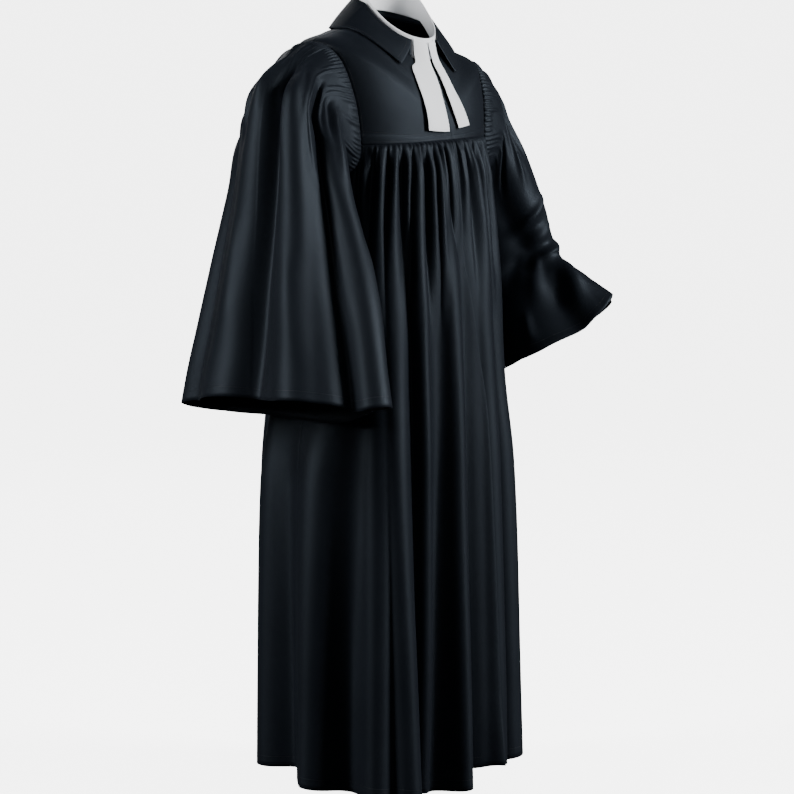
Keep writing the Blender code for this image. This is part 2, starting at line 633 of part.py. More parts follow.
def make_tabs(white):
    """Two white tabs that hang side by side over the yoke."""
    columns = 4
    for name, (inner_top, outer_top, inner_bottom, outer_bottom, bottom) in TABS.items():
        rows = []
        for part in np.linspace(0.0, 1.0, 11):
            drop = TAB_TOP + (bottom - TAB_TOP) * part
            inner_x = inner_top + (inner_bottom - inner_top) * part
            outer_x = outer_top + (outer_bottom - outer_top) * part
            x = np.linspace(inner_x, outer_x, columns + 1)
            reach = curve_through(LEVELS, LEVEL_COLUMNS.index("front"), max(drop, 0.0))
            angle = np.degrees(np.arcsin(x / reach))
            place = np.full(columns + 1, drop)
            rows.append(tab_base(angle, place))
        normals = numeric_normals(rows)
        outer = [row + normal * (TAB_LIFT + BAND_CLOTH) for row, normal in zip(rows, normals)]
        inner = [row + normal * TAB_LIFT for row, normal in zip(rows, normals)]
        cloth_wall("band_tab_" + name, outer, inner, white)


def main():
    """Build the gown's pieces."""
    clear_scene()
    black = make_material("black_cloth", BLACK_CLOTH)
    white = make_material("white_cloth", WHITE_CLOTH)
    make_yoke(black)
    make_skirt(black)
    make_sleeve("right", -1.0, RIGHT_SLEEVE, black)
    make_sleeve("left", 1.0, LEFT_SLEEVE, black)
    make_collar(black)
    make_neckband(white)
    make_tabs(white)


main()
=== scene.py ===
"""Geneva gown with white neck bands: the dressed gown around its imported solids.

Metres, +Z up. The front faces -Y and the wearer's right is at -X. Every cloth piece is a
thin wall on the same worn form as its solid, with finer folds, pleats and stitching.
"""
import math

import bpy
import numpy as np
from bpy.props import FloatProperty, FloatVectorProperty, PointerProperty
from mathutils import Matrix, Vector


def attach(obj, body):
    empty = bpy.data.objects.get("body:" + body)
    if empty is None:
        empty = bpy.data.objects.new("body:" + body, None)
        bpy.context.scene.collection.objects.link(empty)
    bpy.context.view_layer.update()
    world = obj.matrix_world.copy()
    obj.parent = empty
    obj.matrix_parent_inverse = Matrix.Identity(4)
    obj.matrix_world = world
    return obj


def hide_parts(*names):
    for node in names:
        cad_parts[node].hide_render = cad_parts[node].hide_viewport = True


bl_info = {
    "name": "Geneva Gown",
    "version": (1, 0, 0),
    "blender": (4, 5, 0),
    "location": "3D View > Sidebar > Gown",
    "description": "Dresses a gathered clergy gown with its sleeves, collar and white bands",
    "category": "Add Mesh",
}

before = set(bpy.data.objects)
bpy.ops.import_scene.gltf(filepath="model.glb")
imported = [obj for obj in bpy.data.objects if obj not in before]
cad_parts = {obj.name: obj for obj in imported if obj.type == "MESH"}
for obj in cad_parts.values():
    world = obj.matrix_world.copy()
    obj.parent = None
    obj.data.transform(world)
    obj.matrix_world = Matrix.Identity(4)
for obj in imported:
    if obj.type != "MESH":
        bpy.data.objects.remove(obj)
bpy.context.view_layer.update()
BODY = "root"

# The gown's form

# Rows: drop, z at front, side and back, half width, front and back depth, squareness,
# middle's y, tilt
LEVELS = (
    (0.000, -0.055, 0.020, 0.036, 0.076, 0.090, 0.074, 2.0, 0.000, 0.000),
    (0.040, -0.083, 0.006, 0.022, 0.100, 0.108, 0.092, 2.0, 0.004, -0.006),
    (0.080, -0.113, -0.012, -0.015, 0.145, 0.126, 0.110, 2.0, 0.012, -0.015),
    (0.120, -0.145, -0.034, -0.060, 0.198, 0.142, 0.124, 2.1, 0.018, -0.015),
    (0.160, -0.174, -0.110, -0.110, 0.204, 0.150, 0.130, 2.3, 0.020, -0.006),
    (0.200, -0.200, -0.200, -0.165, 0.199, 0.153, 0.137, 2.4, 0.021, 0.008),
    (0.285, -0.285, -0.285, -0.285, 0.190, 0.174, 0.153, 2.4, 0.022, 0.000),
    (0.360, -0.360, -0.360, -0.360, 0.192, 0.186, 0.165, 2.4, 0.023, 0.000),
    (0.500, -0.500, -0.500, -0.500, 0.202, 0.197, 0.175, 2.5, 0.024, 0.000),
    (0.650, -0.650, -0.650, -0.650, 0.212, 0.201, 0.181, 2.6, 0.025, 0.000),
    (0.820, -0.820, -0.820, -0.820, 0.236, 0.205, 0.186, 2.6, 0.024, 0.000),
    (1.000, -1.004, -0.998, -0.996, 0.242, 0.207, 0.187, 2.6, 0.021, 0.002),
    (1.400, -1.420, -1.390, -1.385, 0.246, 0.211, 0.186, 2.6, 0.016, 0.008),
)
FRONT_DEPTH = 5
SEAM_DROP = 0.200
TIP_DROP = 0.120
UNDERARM_DROP = 0.285
HEM_DROP = 1.400
ARMHOLE_MIDDLE = 0.5 * (TIP_DROP + UNDERARM_DROP)
ARMHOLE_HALF = 0.5 * (UNDERARM_DROP - TIP_DROP)

# Front opening: drop, degrees from straight ahead towards the wearer's left
OPENING = ((0.00, 0.0), (0.12, 5.0), (0.20, 7.5), (0.38, 6.5), (0.55, 13.0), (0.72, 20.0),
           (1.00, 21.5), (1.40, 22.5))

# Armholes: degrees each swings forward and back of the side
ARMHOLE_FRONT = 31.0
ARMHOLE_BACK = 29.0
ARMHOLE_ROUND = 0.8

# Large folds: angle at the yoke, at cuff level and at the hem, half width in degrees,
# height at cuff level and at the hem
FOLDS = (
    (-80.0, -79.0, -80.0, 6.5, 0.006, 0.022),
    (-62.0, -60.0, -65.0, 8.5, -0.009, -0.026),
    (-50.0, -48.0, -50.0, 4.5, 0.007, 0.014),
    (-41.0, -38.5, -35.0, 5.5, 0.013, 0.024),
    (-34.0, -33.0, -27.0, 4.5, -0.010, -0.022),
    (-27.0, -26.0, -22.0, 3.5, 0.014, 0.000),
    (-18.0, -15.0, -17.0, 6.0, -0.010, -0.024),
    (-8.0, -3.5, -4.5, 4.5, 0.013, 0.022),
    (3.0, 6.0, 7.0, 5.5, -0.010, -0.017),
    (18.0, 24.0, 24.0, 5.0, 0.010, 0.016),
    (29.0, 33.0, 32.5, 3.2, -0.009, -0.017),
    (41.0, 44.0, 43.0, 5.5, 0.009, 0.015),
    (54.0, 57.0, 56.0, 5.5, -0.008, -0.015),
    (66.0, 68.0, 68.0, 6.0, 0.008, 0.018),
    (80.0, 80.0, 81.0, 7.0, -0.004, -0.012),
    (95.0, 96.0, 95.0, 6.0, -0.006, -0.020),
    (108.0, 109.0, 109.0, 7.0, 0.010, 0.024),
    (121.0, 122.0, 122.0, 5.5, -0.009, -0.020),
    (134.0, 134.0, 136.0, 7.0, 0.013, 0.023),
    (148.0, 149.0, 150.0, 6.0, -0.011, -0.022),
    (163.0, 163.0, 165.0, 7.5, 0.014, 0.026),
    (178.0, 179.0, 180.0, 6.0, -0.012, -0.021),
    (193.0, 195.0, 195.0, 6.5, 0.013, 0.020),
    (207.0, 208.0, 208.0, 5.5, -0.011, -0.023),
    (220.0, 220.0, 221.0, 7.0, 0.016, 0.026),
    (234.0, 234.0, 235.0, 6.0, -0.009, -0.019),
    (246.0, 247.0, 246.0, 6.5, 0.010, 0.018),
    (262.0, 264.0, 262.0, 6.0, -0.005, -0.018),
)

# Folds that spring from the gathers and run out: angle at the yoke, angle and drop where
# each ends, half width in degrees, height
SPRINGS = (
    (-57.0, -58.0, 0.50, 2.3, 0.0055), (-52.5, -53.5, 0.38, 1.7, -0.0035),
    (-48.0, -50.0, 0.66, 2.3, 0.0060), (-44.5, -45.5, 0.44, 1.6, -0.0040),
    (-41.0, -41.5, 0.54, 1.9, 0.0060), (-36.5, -37.5, 0.60, 2.2, -0.0055),
    (-32.0, -34.0, 0.52, 2.0, 0.0075), (-29.0, -31.5, 0.42, 1.3, -0.0040),
    (-26.0, -29.0, 0.62, 2.0, 0.0070), (-21.0, -21.5, 0.58, 2.5, -0.0060),
    (-16.0, -15.5, 0.60, 2.0, 0.0080), (-13.4, -12.6, 0.44, 1.3, -0.0045),
    (-11.0, -9.5, 0.58, 1.7, 0.0065), (-7.0, -7.2, 0.37, 1.5, 0.0055),
    (-3.5, -2.0, 0.46, 1.8, -0.0060), (1.5, 3.2, 0.44, 2.0, 0.0045),
    (12.5, 12.0, 0.40, 1.9, 0.0050), (17.5, 18.0, 0.56, 1.8, -0.0060),
    (22.5, 26.0, 0.58, 2.2, 0.0070), (27.5, 30.5, 0.42, 1.5, -0.0040),
    (32.0, 34.5, 0.62, 2.2, 0.0065), (37.5, 40.0, 0.52, 1.9, -0.0055),
    (43.0, 46.5, 0.66, 2.2, 0.0070), (49.0, 51.5, 0.46, 1.9, -0.0045),
    (54.5, 56.5, 0.56, 2.2, 0.0060),
    (124.0, 123.0, 0.46, 2.0, 0.0055), (128.5, 128.0, 0.38, 1.6, -0.0040),
    (133.0, 134.0, 0.62, 2.4, 0.0070), (138.5, 140.0, 0.44, 1.8, -0.0050),
    (143.0, 142.0, 0.54, 2.1, 0.0060), (148.5, 149.0, 0.62, 2.3, -0.0065),
    (153.5, 155.0, 0.50, 2.0, 0.0070), (158.0, 159.5, 0.40, 1.5, -0.0040),
    (162.5, 163.0, 0.66, 2.4, 0.0075), (168.0, 168.5, 0.46, 1.8, -0.0050),
    (172.5, 171.0, 0.52, 2.0, 0.0060), (178.0, 178.5, 0.60, 2.4, -0.0070),
    (183.5, 185.0, 0.44, 2.0, 0.0065), (188.0, 189.5, 0.38, 1.5, -0.0045),
    (192.5, 194.0, 0.64, 2.4, 0.0070), (198.0, 199.5, 0.48, 1.9, -0.0050),
    (203.0, 202.0, 0.54, 2.0, 0.0060), (208.0, 208.5, 0.58, 2.2, -0.0060),
    (213.5, 215.0, 0.42, 1.9, 0.0065), (218.0, 219.0, 0.66, 2.2, 0.0070),
    (223.5, 224.5, 0.46, 1.7, -0.0045), (228.5, 230.0, 0.56, 2.2, 0.0060),
    (233.5, 234.0, 0.48, 1.9, -0.0045),
)

# Hem line: angle and height above the level line, where it hangs uneven
HEM_LINE = ((-110.0, 0.000), (-92.0, 0.004), (-86.0, 0.004), (-82.0, -0.018), (-66.0, -0.024),
            (-30.0, -0.018), (-8.0, -0.012), (-1.5, -0.008), (2.5, 0.014), (20.0, 0.016),
            (30.0, 0.004), (90.0, 0.000), (250.0, 0.000))

# The same at the cuffs, over the angle round the arm
RIGHT_HEM = ((0.0, 0.011), (15.0, 0.003), (30.0, -0.002), (60.0, -0.004), (75.0, -0.010),
             (105.0, -0.008), (140.0, -0.008), (165.0, -0.026), (180.0, -0.027), (195.0, -0.020),
             (210.0, -0.011), (240.0, -0.004), (270.0, 0.000), (300.0, 0.014), (330.0, 0.009),
             (360.0, 0.011))
LEFT_HEM = ((0.0, 0.000), (60.0, 0.004), (80.0, 0.002), (95.0, -0.028), (115.0, -0.046),
            (145.0, -0.054), (170.0, -0.050), (200.0, -0.036), (235.0, -0.006), (300.0, 0.012),
            (330.0, 0.006), (360.0, 0.000))

FRONT_GATHERS = 20
BACK_GATHERS = 38
SLEEVE_PLEATS = 88
HEAD_CROWDING = 0.45
LEFT_SEED, RIGHT_SEED, BACK_SEED = 11, 12, 13
HEM_EXTRA = 0.0012

# Stitches beside the armhole: metres below it and degrees beside it
STITCH_INSET = 0.004
STITCH_SWING = 1.4

# Sleeves: along, middle, half width towards the outer side, half depth to the front
RIGHT_SLEEVE = (
    (0.075, -0.240, 0.012, -0.178, -0.034, 0.000, 0.120, 0.000, -0.108, 0.000),
    (0.140, -0.268, 0.001, -0.222, -0.058, 0.000, 0.116, 0.000, -0.127, 0.000),
    (0.215, -0.285, -0.009, -0.287, -0.068, 0.000, 0.086, 0.000, -0.147, -0.002),
    (0.310, -0.297, -0.019, -0.362, -0.077, 0.000, 0.036, 0.000, -0.172, 0.000),
    (0.450, -0.320, -0.038, -0.470, -0.090, 0.000, 0.004, 0.000, -0.202, 0.006),
    (0.555, -0.336, -0.051, -0.562, -0.094, 0.000, 0.004, 0.000, -0.222, 0.014),
    (0.680, -0.353, -0.064, -0.681, -0.101, 0.000, 0.013, 0.000, -0.246, 0.022),
)
LEFT_SLEEVE = (
    (0.075, 0.232, 0.019, -0.200, 0.028, 0.000, 0.100, 0.000, -0.090, 0.000),
    (0.140, 0.248, 0.026, -0.246, 0.043, 0.000, 0.093, 0.000, -0.096, 0.000),
    (0.215, 0.273, 0.031, -0.307, 0.061, 0.000, 0.073, 0.000, -0.110, 0.004),
    (0.310, 0.298, 0.036, -0.380, 0.078, 0.000, 0.030, 0.000, -0.129, 0.022),
    (0.430, 0.318, 0.028, -0.474, 0.086, 0.000, 0.004, 0.008, -0.144, 0.046),
    (0.520, 0.328, -0.014, -0.536, 0.094, 0.000, 0.004, 0.014, -0.166, 0.066),
    (0.620, 0.336, -0.066, -0.602, 0.102, 0.000, 0.006, 0.020, -0.166, 0.096),
)
HEAD_END = 0.075

# Sleeve folds: angle round the arm at head and cuff (0 outer side, 90 front), half width
# in degrees, height at head and cuff
RIGHT_FOLDS = (
    (-2.0, -17.0, 11.0, 0.012, 0.020), (17.0, 3.0, 7.5, -0.016, -0.028),
    (31.0, 30.0, 9.0, 0.016, 0.028), (57.0, 65.0, 12.0, -0.024, -0.040),
    (92.0, 101.0, 12.0, 0.011, 0.016), (-40.0, -52.0, 13.0, -0.004, -0.008),
    (165.0, 168.0, 16.0, 0.002, 0.006), (222.0, 226.0, 15.0, -0.005, -0.014),
    (272.0, 276.0, 15.0, 0.006, 0.016), (300.0, 305.0, 12.0, -0.006, -0.015),
)
LEFT_FOLDS = (
    (-36.0, -30.0, 14.0, 0.006, 0.014), (-6.0, 0.0, 12.0, -0.008, -0.014),
    (24.0, 30.0, 14.0, 0.007, 0.014), (58.0, 62.0, 12.0, -0.008, -0.010),
    (92.0, 92.0, 13.0, 0.005, 0.008), (124.0, 122.0, 13.0, -0.004, -0.011),
    (158.0, 156.0, 14.0, 0.003, 0.009), (196.0, 196.0, 14.0, -0.004, -0.012),
    (238.0, 240.0, 15.0, 0.006, 0.016), (284.0, 286.0, 14.0, -0.007, -0.015),
)

# Creases of the sleeves: angle and place along the arm at each end, bow, half width in
# metres, height
RIGHT_CREASES = (
    (39.0, 0.052, 56.0, 0.27, -0.004, 0.0075, 0.006),
    (46.0, 0.05, 64.0, 0.19, 0.003, 0.0065, -0.006),
    (50.0, 0.048, 70.0, 0.17, 0.002, 0.007, 0.006), (28.0, 0.046, 36.0, 0.2, 0.004, 0.007, -0.005),
    (18.0, 0.05, 24.0, 0.25, 0.002, 0.0085, 0.0055),
    (6.0, 0.046, 8.0, 0.21, -0.003, 0.008, -0.0045),
    (62.0, 0.044, 82.0, 0.15, 0.003, 0.007, -0.005),
    (72.0, 0.04, 90.0, 0.21, 0.004, 0.008, 0.0055), (-6.0, 0.048, -6.0, 0.19, 0.003, 0.008, 0.005),
    (-18.0, 0.046, -17.0, 0.24, -0.002, 0.0085, -0.005),
    (-30.0, 0.048, -27.0, 0.21, 0.002, 0.008, 0.005),
    (-44.0, 0.046, -40.0, 0.23, 0.003, 0.009, -0.005),
    (-58.0, 0.044, -52.0, 0.22, -0.003, 0.0085, 0.0055),
    (-72.0, 0.042, -68.0, 0.18, 0.002, 0.008, -0.0045),
    (-86.0, 0.04, -80.0, 0.24, 0.003, 0.009, 0.005),
    (92.0, 0.04, 104.0, 0.2, 0.003, 0.008, -0.0045), (14.0, 0.25, 17.0, 0.56, 0.004, 0.01, 0.005),
    (31.0, 0.36, 34.0, 0.64, -0.003, 0.012, 0.004), (66.0, 0.25, 68.0, 0.56, 0.005, 0.013, 0.0045),
    (-14.0, 0.3, -13.0, 0.6, 0.003, 0.012, 0.0035),
    (-48.0, 0.28, -47.0, 0.6, -0.004, 0.013, -0.0045),
    (100.0, 0.3, 104.0, 0.62, 0.004, 0.013, 0.004), (-62.0, 0.12, -62.0, 0.64, 0.0, 0.08, -0.009),
    (250.0, 0.26, 252.0, 0.62, 0.004, 0.013, 0.0045),
    (205.0, 0.3, 206.0, 0.6, 0.004, 0.013, 0.0035),
)
LEFT_CREASES = (
    (50.0, 0.245, 140.0, 0.335, -0.006, 0.014, 0.006),
    (54.0, 0.285, 142.0, 0.378, -0.008, 0.016, -0.005),
    (40.0, 0.335, 130.0, 0.42, -0.008, 0.017, -0.007),
    (44.0, 0.362, 132.0, 0.462, -0.008, 0.015, 0.0075),
    (108.0, 0.422, 144.0, 0.545, 0.006, 0.013, 0.008),
    (124.0, 0.405, 162.0, 0.525, 0.008, 0.015, -0.006), (62.0, 0.09, 62.0, 0.47, 0.0, 0.07, 0.015),
    (102.0, 0.47, 128.0, 0.57, 0.006, 0.015, -0.005),
    (84.0, 0.44, 112.0, 0.6, 0.004, 0.017, 0.0045),
    (148.0, 0.536, 152.0, 0.6, 0.002, 0.007, 0.0045),
    (84.0, 0.43, 84.0, 0.56, 0.004, 0.011, -0.004),
    (40.0, 0.046, 56.0, 0.22, 0.004, 0.0075, 0.0055),
    (52.0, 0.046, 74.0, 0.19, -0.003, 0.007, -0.005),
    (64.0, 0.044, 90.0, 0.23, 0.004, 0.0075, 0.0055),
    (24.0, 0.048, 34.0, 0.23, 0.003, 0.008, -0.005),
    (10.0, 0.048, 16.0, 0.2, -0.002, 0.008, 0.005),
    (-8.0, 0.046, -4.0, 0.23, 0.003, 0.0085, -0.005),
    (-24.0, 0.048, -20.0, 0.21, 0.002, 0.008, 0.005),
    (-42.0, 0.046, -38.0, 0.24, -0.003, 0.0085, -0.005),
    (-60.0, 0.044, -54.0, 0.22, 0.003, 0.0085, 0.0055),
    (-76.0, 0.042, -72.0, 0.19, 0.002, 0.008, -0.0045),
    (86.0, 0.04, 118.0, 0.2, 0.004, 0.008, -0.0045), (20.0, 0.3, 24.0, 0.56, 0.005, 0.012, 0.0045),
    (-20.0, 0.32, -14.0, 0.56, 0.004, 0.012, 0.004), (250.0, 0.33, 262.0, 0.4, 0.006, 0.01, 0.006),
    (230.0, 0.37, 270.0, 0.43, -0.006, 0.01, -0.0065),
    (222.0, 0.42, 268.0, 0.47, 0.006, 0.01, 0.0055),
)

# Collar: the fold line's ring, and where the fall ends on the yoke
FOLD_HALF_WIDTH = 0.077
FOLD_FRONT = 0.090
FOLD_BACK = 0.076
FOLD_Z_FRONT = -0.0195
FOLD_Z_SIDE = 0.055
FOLD_Z_BACK = 0.078
COLLAR_TOP_ANGLE = 23.0
COLLAR_POINT_ANGLE = 37.0
FALL_DROP = 0.066
FALL_LIFT = 0.0040
FALL_BULGE = 0.002
BAND_INSET = 0.0052
BAND_RISE = 0.010
BAND_DEPTH = 0.030

# White tabs: inner and outer edge to the wearer's left (+) at the top, the same at the
# bottom, and the bottom's drop
TABS = {
    "right": (0.0005, -0.029, 0.012, -0.042, 0.176),
    "left": (0.0035, 0.024, 0.037, 0.064, 0.170),
}
TAB_TOP = -0.038
TAB_LEAN = 0.16
RIGHT_TAB_BOW = 0.015


# Stage: each light's place, width and height, and watts
LIGHTS = {
    "light_left": ((-4.4, 2.0, 1.4), (1.2, 3.0), 320.0),
    "light_right": ((2.5, -4.4, 1.4), (1.4, 3.0), 540.0),
    "light_front": ((-3.3, -3.6, 2.2), (2.4, 2.4), 28.0),
    "light_back": ((2.4, 4.2, 1.4), (2.0, 2.6), 40.0),
}
LIT_POINT = (0.0, 0.0, -0.6)
WORLD_STRENGTH = 0.04
FLOOR_RADIUS = 40.0
FLOOR_Z = -1.47

# Camera: degrees from straight ahead towards the wearer's right, and metres
CAMERA_TURN = 45.1
CAMERA_DISTANCE = 5.99
CAMERA_Z = -0.077
CAMERA_LENS = 141.5
CAMERA_SENSOR = 36.0
TARGET_ASIDE = 0.0055
TARGET_Z = -0.696


def length_setting(label, note, value):
    """Length in metres, with its default."""
    return FloatProperty(name=label, description=note, default=value, unit="LENGTH")


def colour_setting(label, note, value):
    """Opaque colour, with its default."""
    return FloatVectorProperty(name=label, description=note, default=(*value, 1.0), size=4,
                               subtype="COLOR")


def share_setting(label, note, value):
    """Number from 0 to 1, with its default."""
    return FloatProperty(name=label, description=note, default=value, min=0.0, max=1.0,
                         subtype="FACTOR")


class GownSizes(bpy.types.PropertyGroup):
    """Sizes of the cloth and of its finer work."""

    cloth: length_setting("Gown cloth", "Thickness of the black cloth", 0.0013)
    band_cloth: length_setting("Band cloth", "Thickness of the white bands", 0.0011)
    gather: length_setting("Gathers", "Height of the gathers under the yoke", 0.0048)
    pleat: length_setting("Sleeve pleats", "Height of the sleeve head's pleats", 0.0030)
    roundness: length_setting("Fold roundness",
                              "How far the ridges of the folds roll over their valleys", 0.012)
    hem: length_setting("Hem turning", "Depth of the turned hems", 0.020)
    stitch: length_setting("Stitch length", "Length of one stitch", 0.0030)
    stitch_gap: length_setting("Stitch spacing", "Distance from stitch to stitch", 0.0045)
    weave: length_setting("Twill rib", "Width of one rib of the black twill", 0.0007)


class GownFinishes(bpy.types.PropertyGroup):
    """Colours and surfaces of the cloths."""

    # The two blacks are mixed by the twill's ribs and a cloudy noise. The lighter one is a painted
    # highlight on the rib tops and the deeper one is painted shade between them; both also carry
    # random tone.
    black_tone_and_groove_shade: colour_setting("Black, deep", "Colour between the ribs", (0.0020, 0.0026, 0.0042))
    black_tone_and_rib_highlight: colour_setting("Black, light", "Colour on the ribs", (0.0040, 0.0052, 0.0080))
    black_thread: colour_setting("Black thread", "Colour of the gown's thread",
                                 (0.0040, 0.0050, 0.0076))
    white_cloth: colour_setting("White cloth", "Colour of the bands", (0.92, 0.94, 0.97))
    white_thread: colour_setting("White thread", "Colour of the bands' thread",
                                 (0.86, 0.88, 0.92))
    floor: colour_setting("Floor", "Colour of the studio floor", (0.90, 0.90, 0.90))
    black_roughness: share_setting("Black roughness", "Roughness of the twill", 0.52)
    white_roughness: share_setting("White roughness", "Roughness of the bands", 0.70)


# Shader maths


class Value:
    """A socket with Python's arithmetic; each sum or product adds its Math node."""

    def __init__(self, tree, socket):
        self.tree = tree
        self.socket = socket

    def _math(self, operation, first, second):
        return node(self.tree, "ShaderNodeMath", {"operation": operation}, {0: first, 1: second})[0]

    def __add__(self, other):
        return self._math("ADD", self, other)

    def __radd__(self, other):
        return self._math("ADD", other, self)

    def __sub__(self, other):
        return self._math("SUBTRACT", self, other)

    def __rsub__(self, other):
        return self._math("SUBTRACT", other, self)

    def __mul__(self, other):
        return self._math("MULTIPLY", self, other)

    def __rmul__(self, other):
        return self._math("MULTIPLY", other, self)

    def sine(self):
        """Sine of the value."""
        return self._math("SINE", self, 0.0)

    def clamped(self):
        """Value held between 0 and 1."""
        return node(self.tree, "ShaderNodeClamp", {}, {0: self})[0]


def node(tree, kind, settings, inputs):
    """Add a node, set it up, fill its sockets, and give its outputs as values."""
    made = tree.nodes.new(kind)
    for key, value in settings.items():
        setattr(made, key, value)
    for key, value in inputs.items():
        if isinstance(value, Value):
            tree.links.new(value.socket, made.inputs[key])
        else:
            made.inputs[key].default_value = value
    return [Value(tree, socket) for socket in made.outputs]


def mixed(tree, factor, first, second):
    """Colour between two colours."""
    return node(tree, "ShaderNodeMix", {"data_type": "RGBA"}, {0: factor, 6: first, 7: second})[2]


def new_material(name):
    """Empty material with a Principled BSDF and its output."""
    material = bpy.data.materials.new(name)
    material.use_nodes = True
    tree = material.node_tree
    return material, tree, tree.nodes["Principled BSDF"]


def noise(tree, place, scale, detail):
    """Soft noise from 0 to 1."""
    return node(tree, "ShaderNodeTexNoise", {}, {"Vector": place, "Scale": scale, "Detail": detail,
                                                 "Roughness": 0.5})[0]


def bumped(tree, height, strength, distance):
    """Normal of a fine relief."""
    return node(tree, "ShaderNodeBump", {}, {"Strength": strength, "Distance": distance,
                                             "Height": height})[0]


def feed(tree, surface, values):
    """Link what varies over the cloth to the surface's sockets."""
    for key, value in values.items():
        tree.links.new(value.socket, surface.inputs[key])


def set_constants(surface, constants):
    """Numbers and colours that are the same all over."""
    for key, value in constants.items():
        surface.inputs[key].default_value = value


def twill_material(name, tone_and_groove_shade, tone_and_rib_highlight, roughness, rib):
    """Satin-smooth black twill: fine slanted ribs, faint unevenness, a soft sheen. The rib tops are
    coloured lighter as a painted highlight and the grooves darker as painted shade.
    """
    material, tree, surface = new_material(name)
    flat = node(tree, "ShaderNodeUVMap", {"uv_map": "cloth"}, {})[0]
    place = node(tree, "ShaderNodeTexCoord", {}, {})[3]
    across, down, _ = node(tree, "ShaderNodeSeparateXYZ", {}, {0: flat})
    turn = 2.0 * math.pi / rib
    ribs = 0.5 + 0.5 * (across * turn + down * (turn * 0.62)).sine()
    threads = 0.5 + 0.5 * (down * (turn * 1.9)).sine()
    cloudy = noise(tree, place, 9.0, 3.0)
    fine = noise(tree, place, 260.0, 2.0)
    # Painted light: the ribs colour the twill lighter on their tops, a painted highlight, and
    # darker between them, painted shade. The cloudy noise adds random tone.
    shade = (0.18 + 0.38 * ribs + 0.52 * (cloudy - 0.3)).clamped()
    colour = mixed(tree, shade, tuple(tone_and_groove_shade), tuple(tone_and_rib_highlight))
    rough = (roughness - 0.05 + 0.12 * cloudy + 0.04 * fine).clamped()
    height = ribs * (0.75 + 0.25 * threads) + 0.35 * fine
    bump = bumped(tree, height, 0.45, 0.00009)
    feed(tree, surface, {"Base Color": colour, "Roughness": rough, "Normal": bump})
    set_constants(surface, {"Metallic": 0.0, "Specular IOR Level": 0.19, "Sheen Weight": 0.03,
                            "Specular Tint": (0.66, 0.82, 1.0, 1.0),
                            "Sheen Roughness": 0.45, "Sheen Tint": (0.62, 0.76, 1.0, 1.0)})
    return material


def cotton_material(name, colour, roughness):
    """Crisp white cotton in a plain weave."""
    material, tree, surface = new_material(name)
    flat = node(tree, "ShaderNodeUVMap", {"uv_map": "cloth"}, {})[0]
    place = node(tree, "ShaderNodeTexCoord", {}, {})[3]
    across, down, _ = node(tree, "ShaderNodeSeparateXYZ", {}, {0: flat})
    turn = 2.0 * math.pi / 0.0009
    weave = 0.5 + 0.25 * ((across * turn).sine() + (down * turn).sine())
    cloudy = noise(tree, place, 22.0, 2.0)
    shade = (0.35 * weave + 0.5 * cloudy).clamped()
    dim = tuple(0.93 * part for part in colour[:3]) + (1.0,)
    white = mixed(tree, shade, dim, tuple(colour))
    bump = bumped(tree, weave, 0.35, 0.00008)
    feed(tree, surface, {"Base Color": white, "Normal": bump,
                         "Roughness": (roughness + 0.08 * (cloudy - 0.5)).clamped()})
    set_constants(surface, {"Metallic": 0.0, "Specular IOR Level": 0.35, "Sheen Weight": 0.08})
    return material


def thread_material(name, colour):
    """Twisted sewing thread."""
    material, tree, surface = new_material(name)
    place = node(tree, "ShaderNodeTexCoord", {}, {})[3]
    twist = noise(tree, place, 900.0, 1.0)
    dim = tuple(0.6 * part for part in colour[:3]) + (1.0,)
    thread = mixed(tree, twist, dim, tuple(colour))
    bump = bumped(tree, twist, 0.4, 0.00015)
    feed(tree, surface, {"Base Color": thread, "Normal": bump})
    set_constants(surface, {"Metallic": 0.0, "Roughness": 0.45})
    return material


def floor_material(name, colour):
    """Plain pale studio floor with the faintest unevenness."""
    material, tree, surface = new_material(name)
    place = node(tree, "ShaderNodeTexCoord", {}, {})[3]
    cloudy = noise(tree, place, 2.0, 2.0)
    dim = tuple(0.985 * part for part in colour[:3]) + (1.0,)
    feed(tree, surface, {"Base Color": mixed(tree, cloudy, dim, tuple(colour))})
    set_constants(surface, {"Metallic": 0.0, "Roughness": 0.8, "Specular IOR Level": 0.2,
                            "Emission Color": (1.0, 1.0, 1.0, 1.0), "Emission Strength": 5.0})
    return material


def material_of(name):
    """Material by name, made the first time it is asked for."""
    found = bpy.data.materials.get(name)
    if found is not None:
        return found
    sizes = bpy.context.scene.gown_sizes
    finish = bpy.context.scene.gown_finishes
    makers = {
        "black_twill": lambda: twill_material(name, finish.black_tone_and_groove_shade, finish.black_tone_and_rib_highlight,
                                              finish.black_roughness, sizes.weave),
        "white_cotton": lambda: cotton_material(name, finish.white_cloth, finish.white_roughness),
        "thread_black": lambda: thread_material(name, finish.black_thread),
        "thread_white": lambda: thread_material(name, finish.white_thread),
        "studio_floor": lambda: floor_material(name, finish.floor),
    }
    return makers[name]()


# Maths of the form


def ease(value):
    """Smooth step from 0 to 1."""
    value = np.clip(value, 0.0, 1.0)
    return value * value * (3.0 - 2.0 * value)


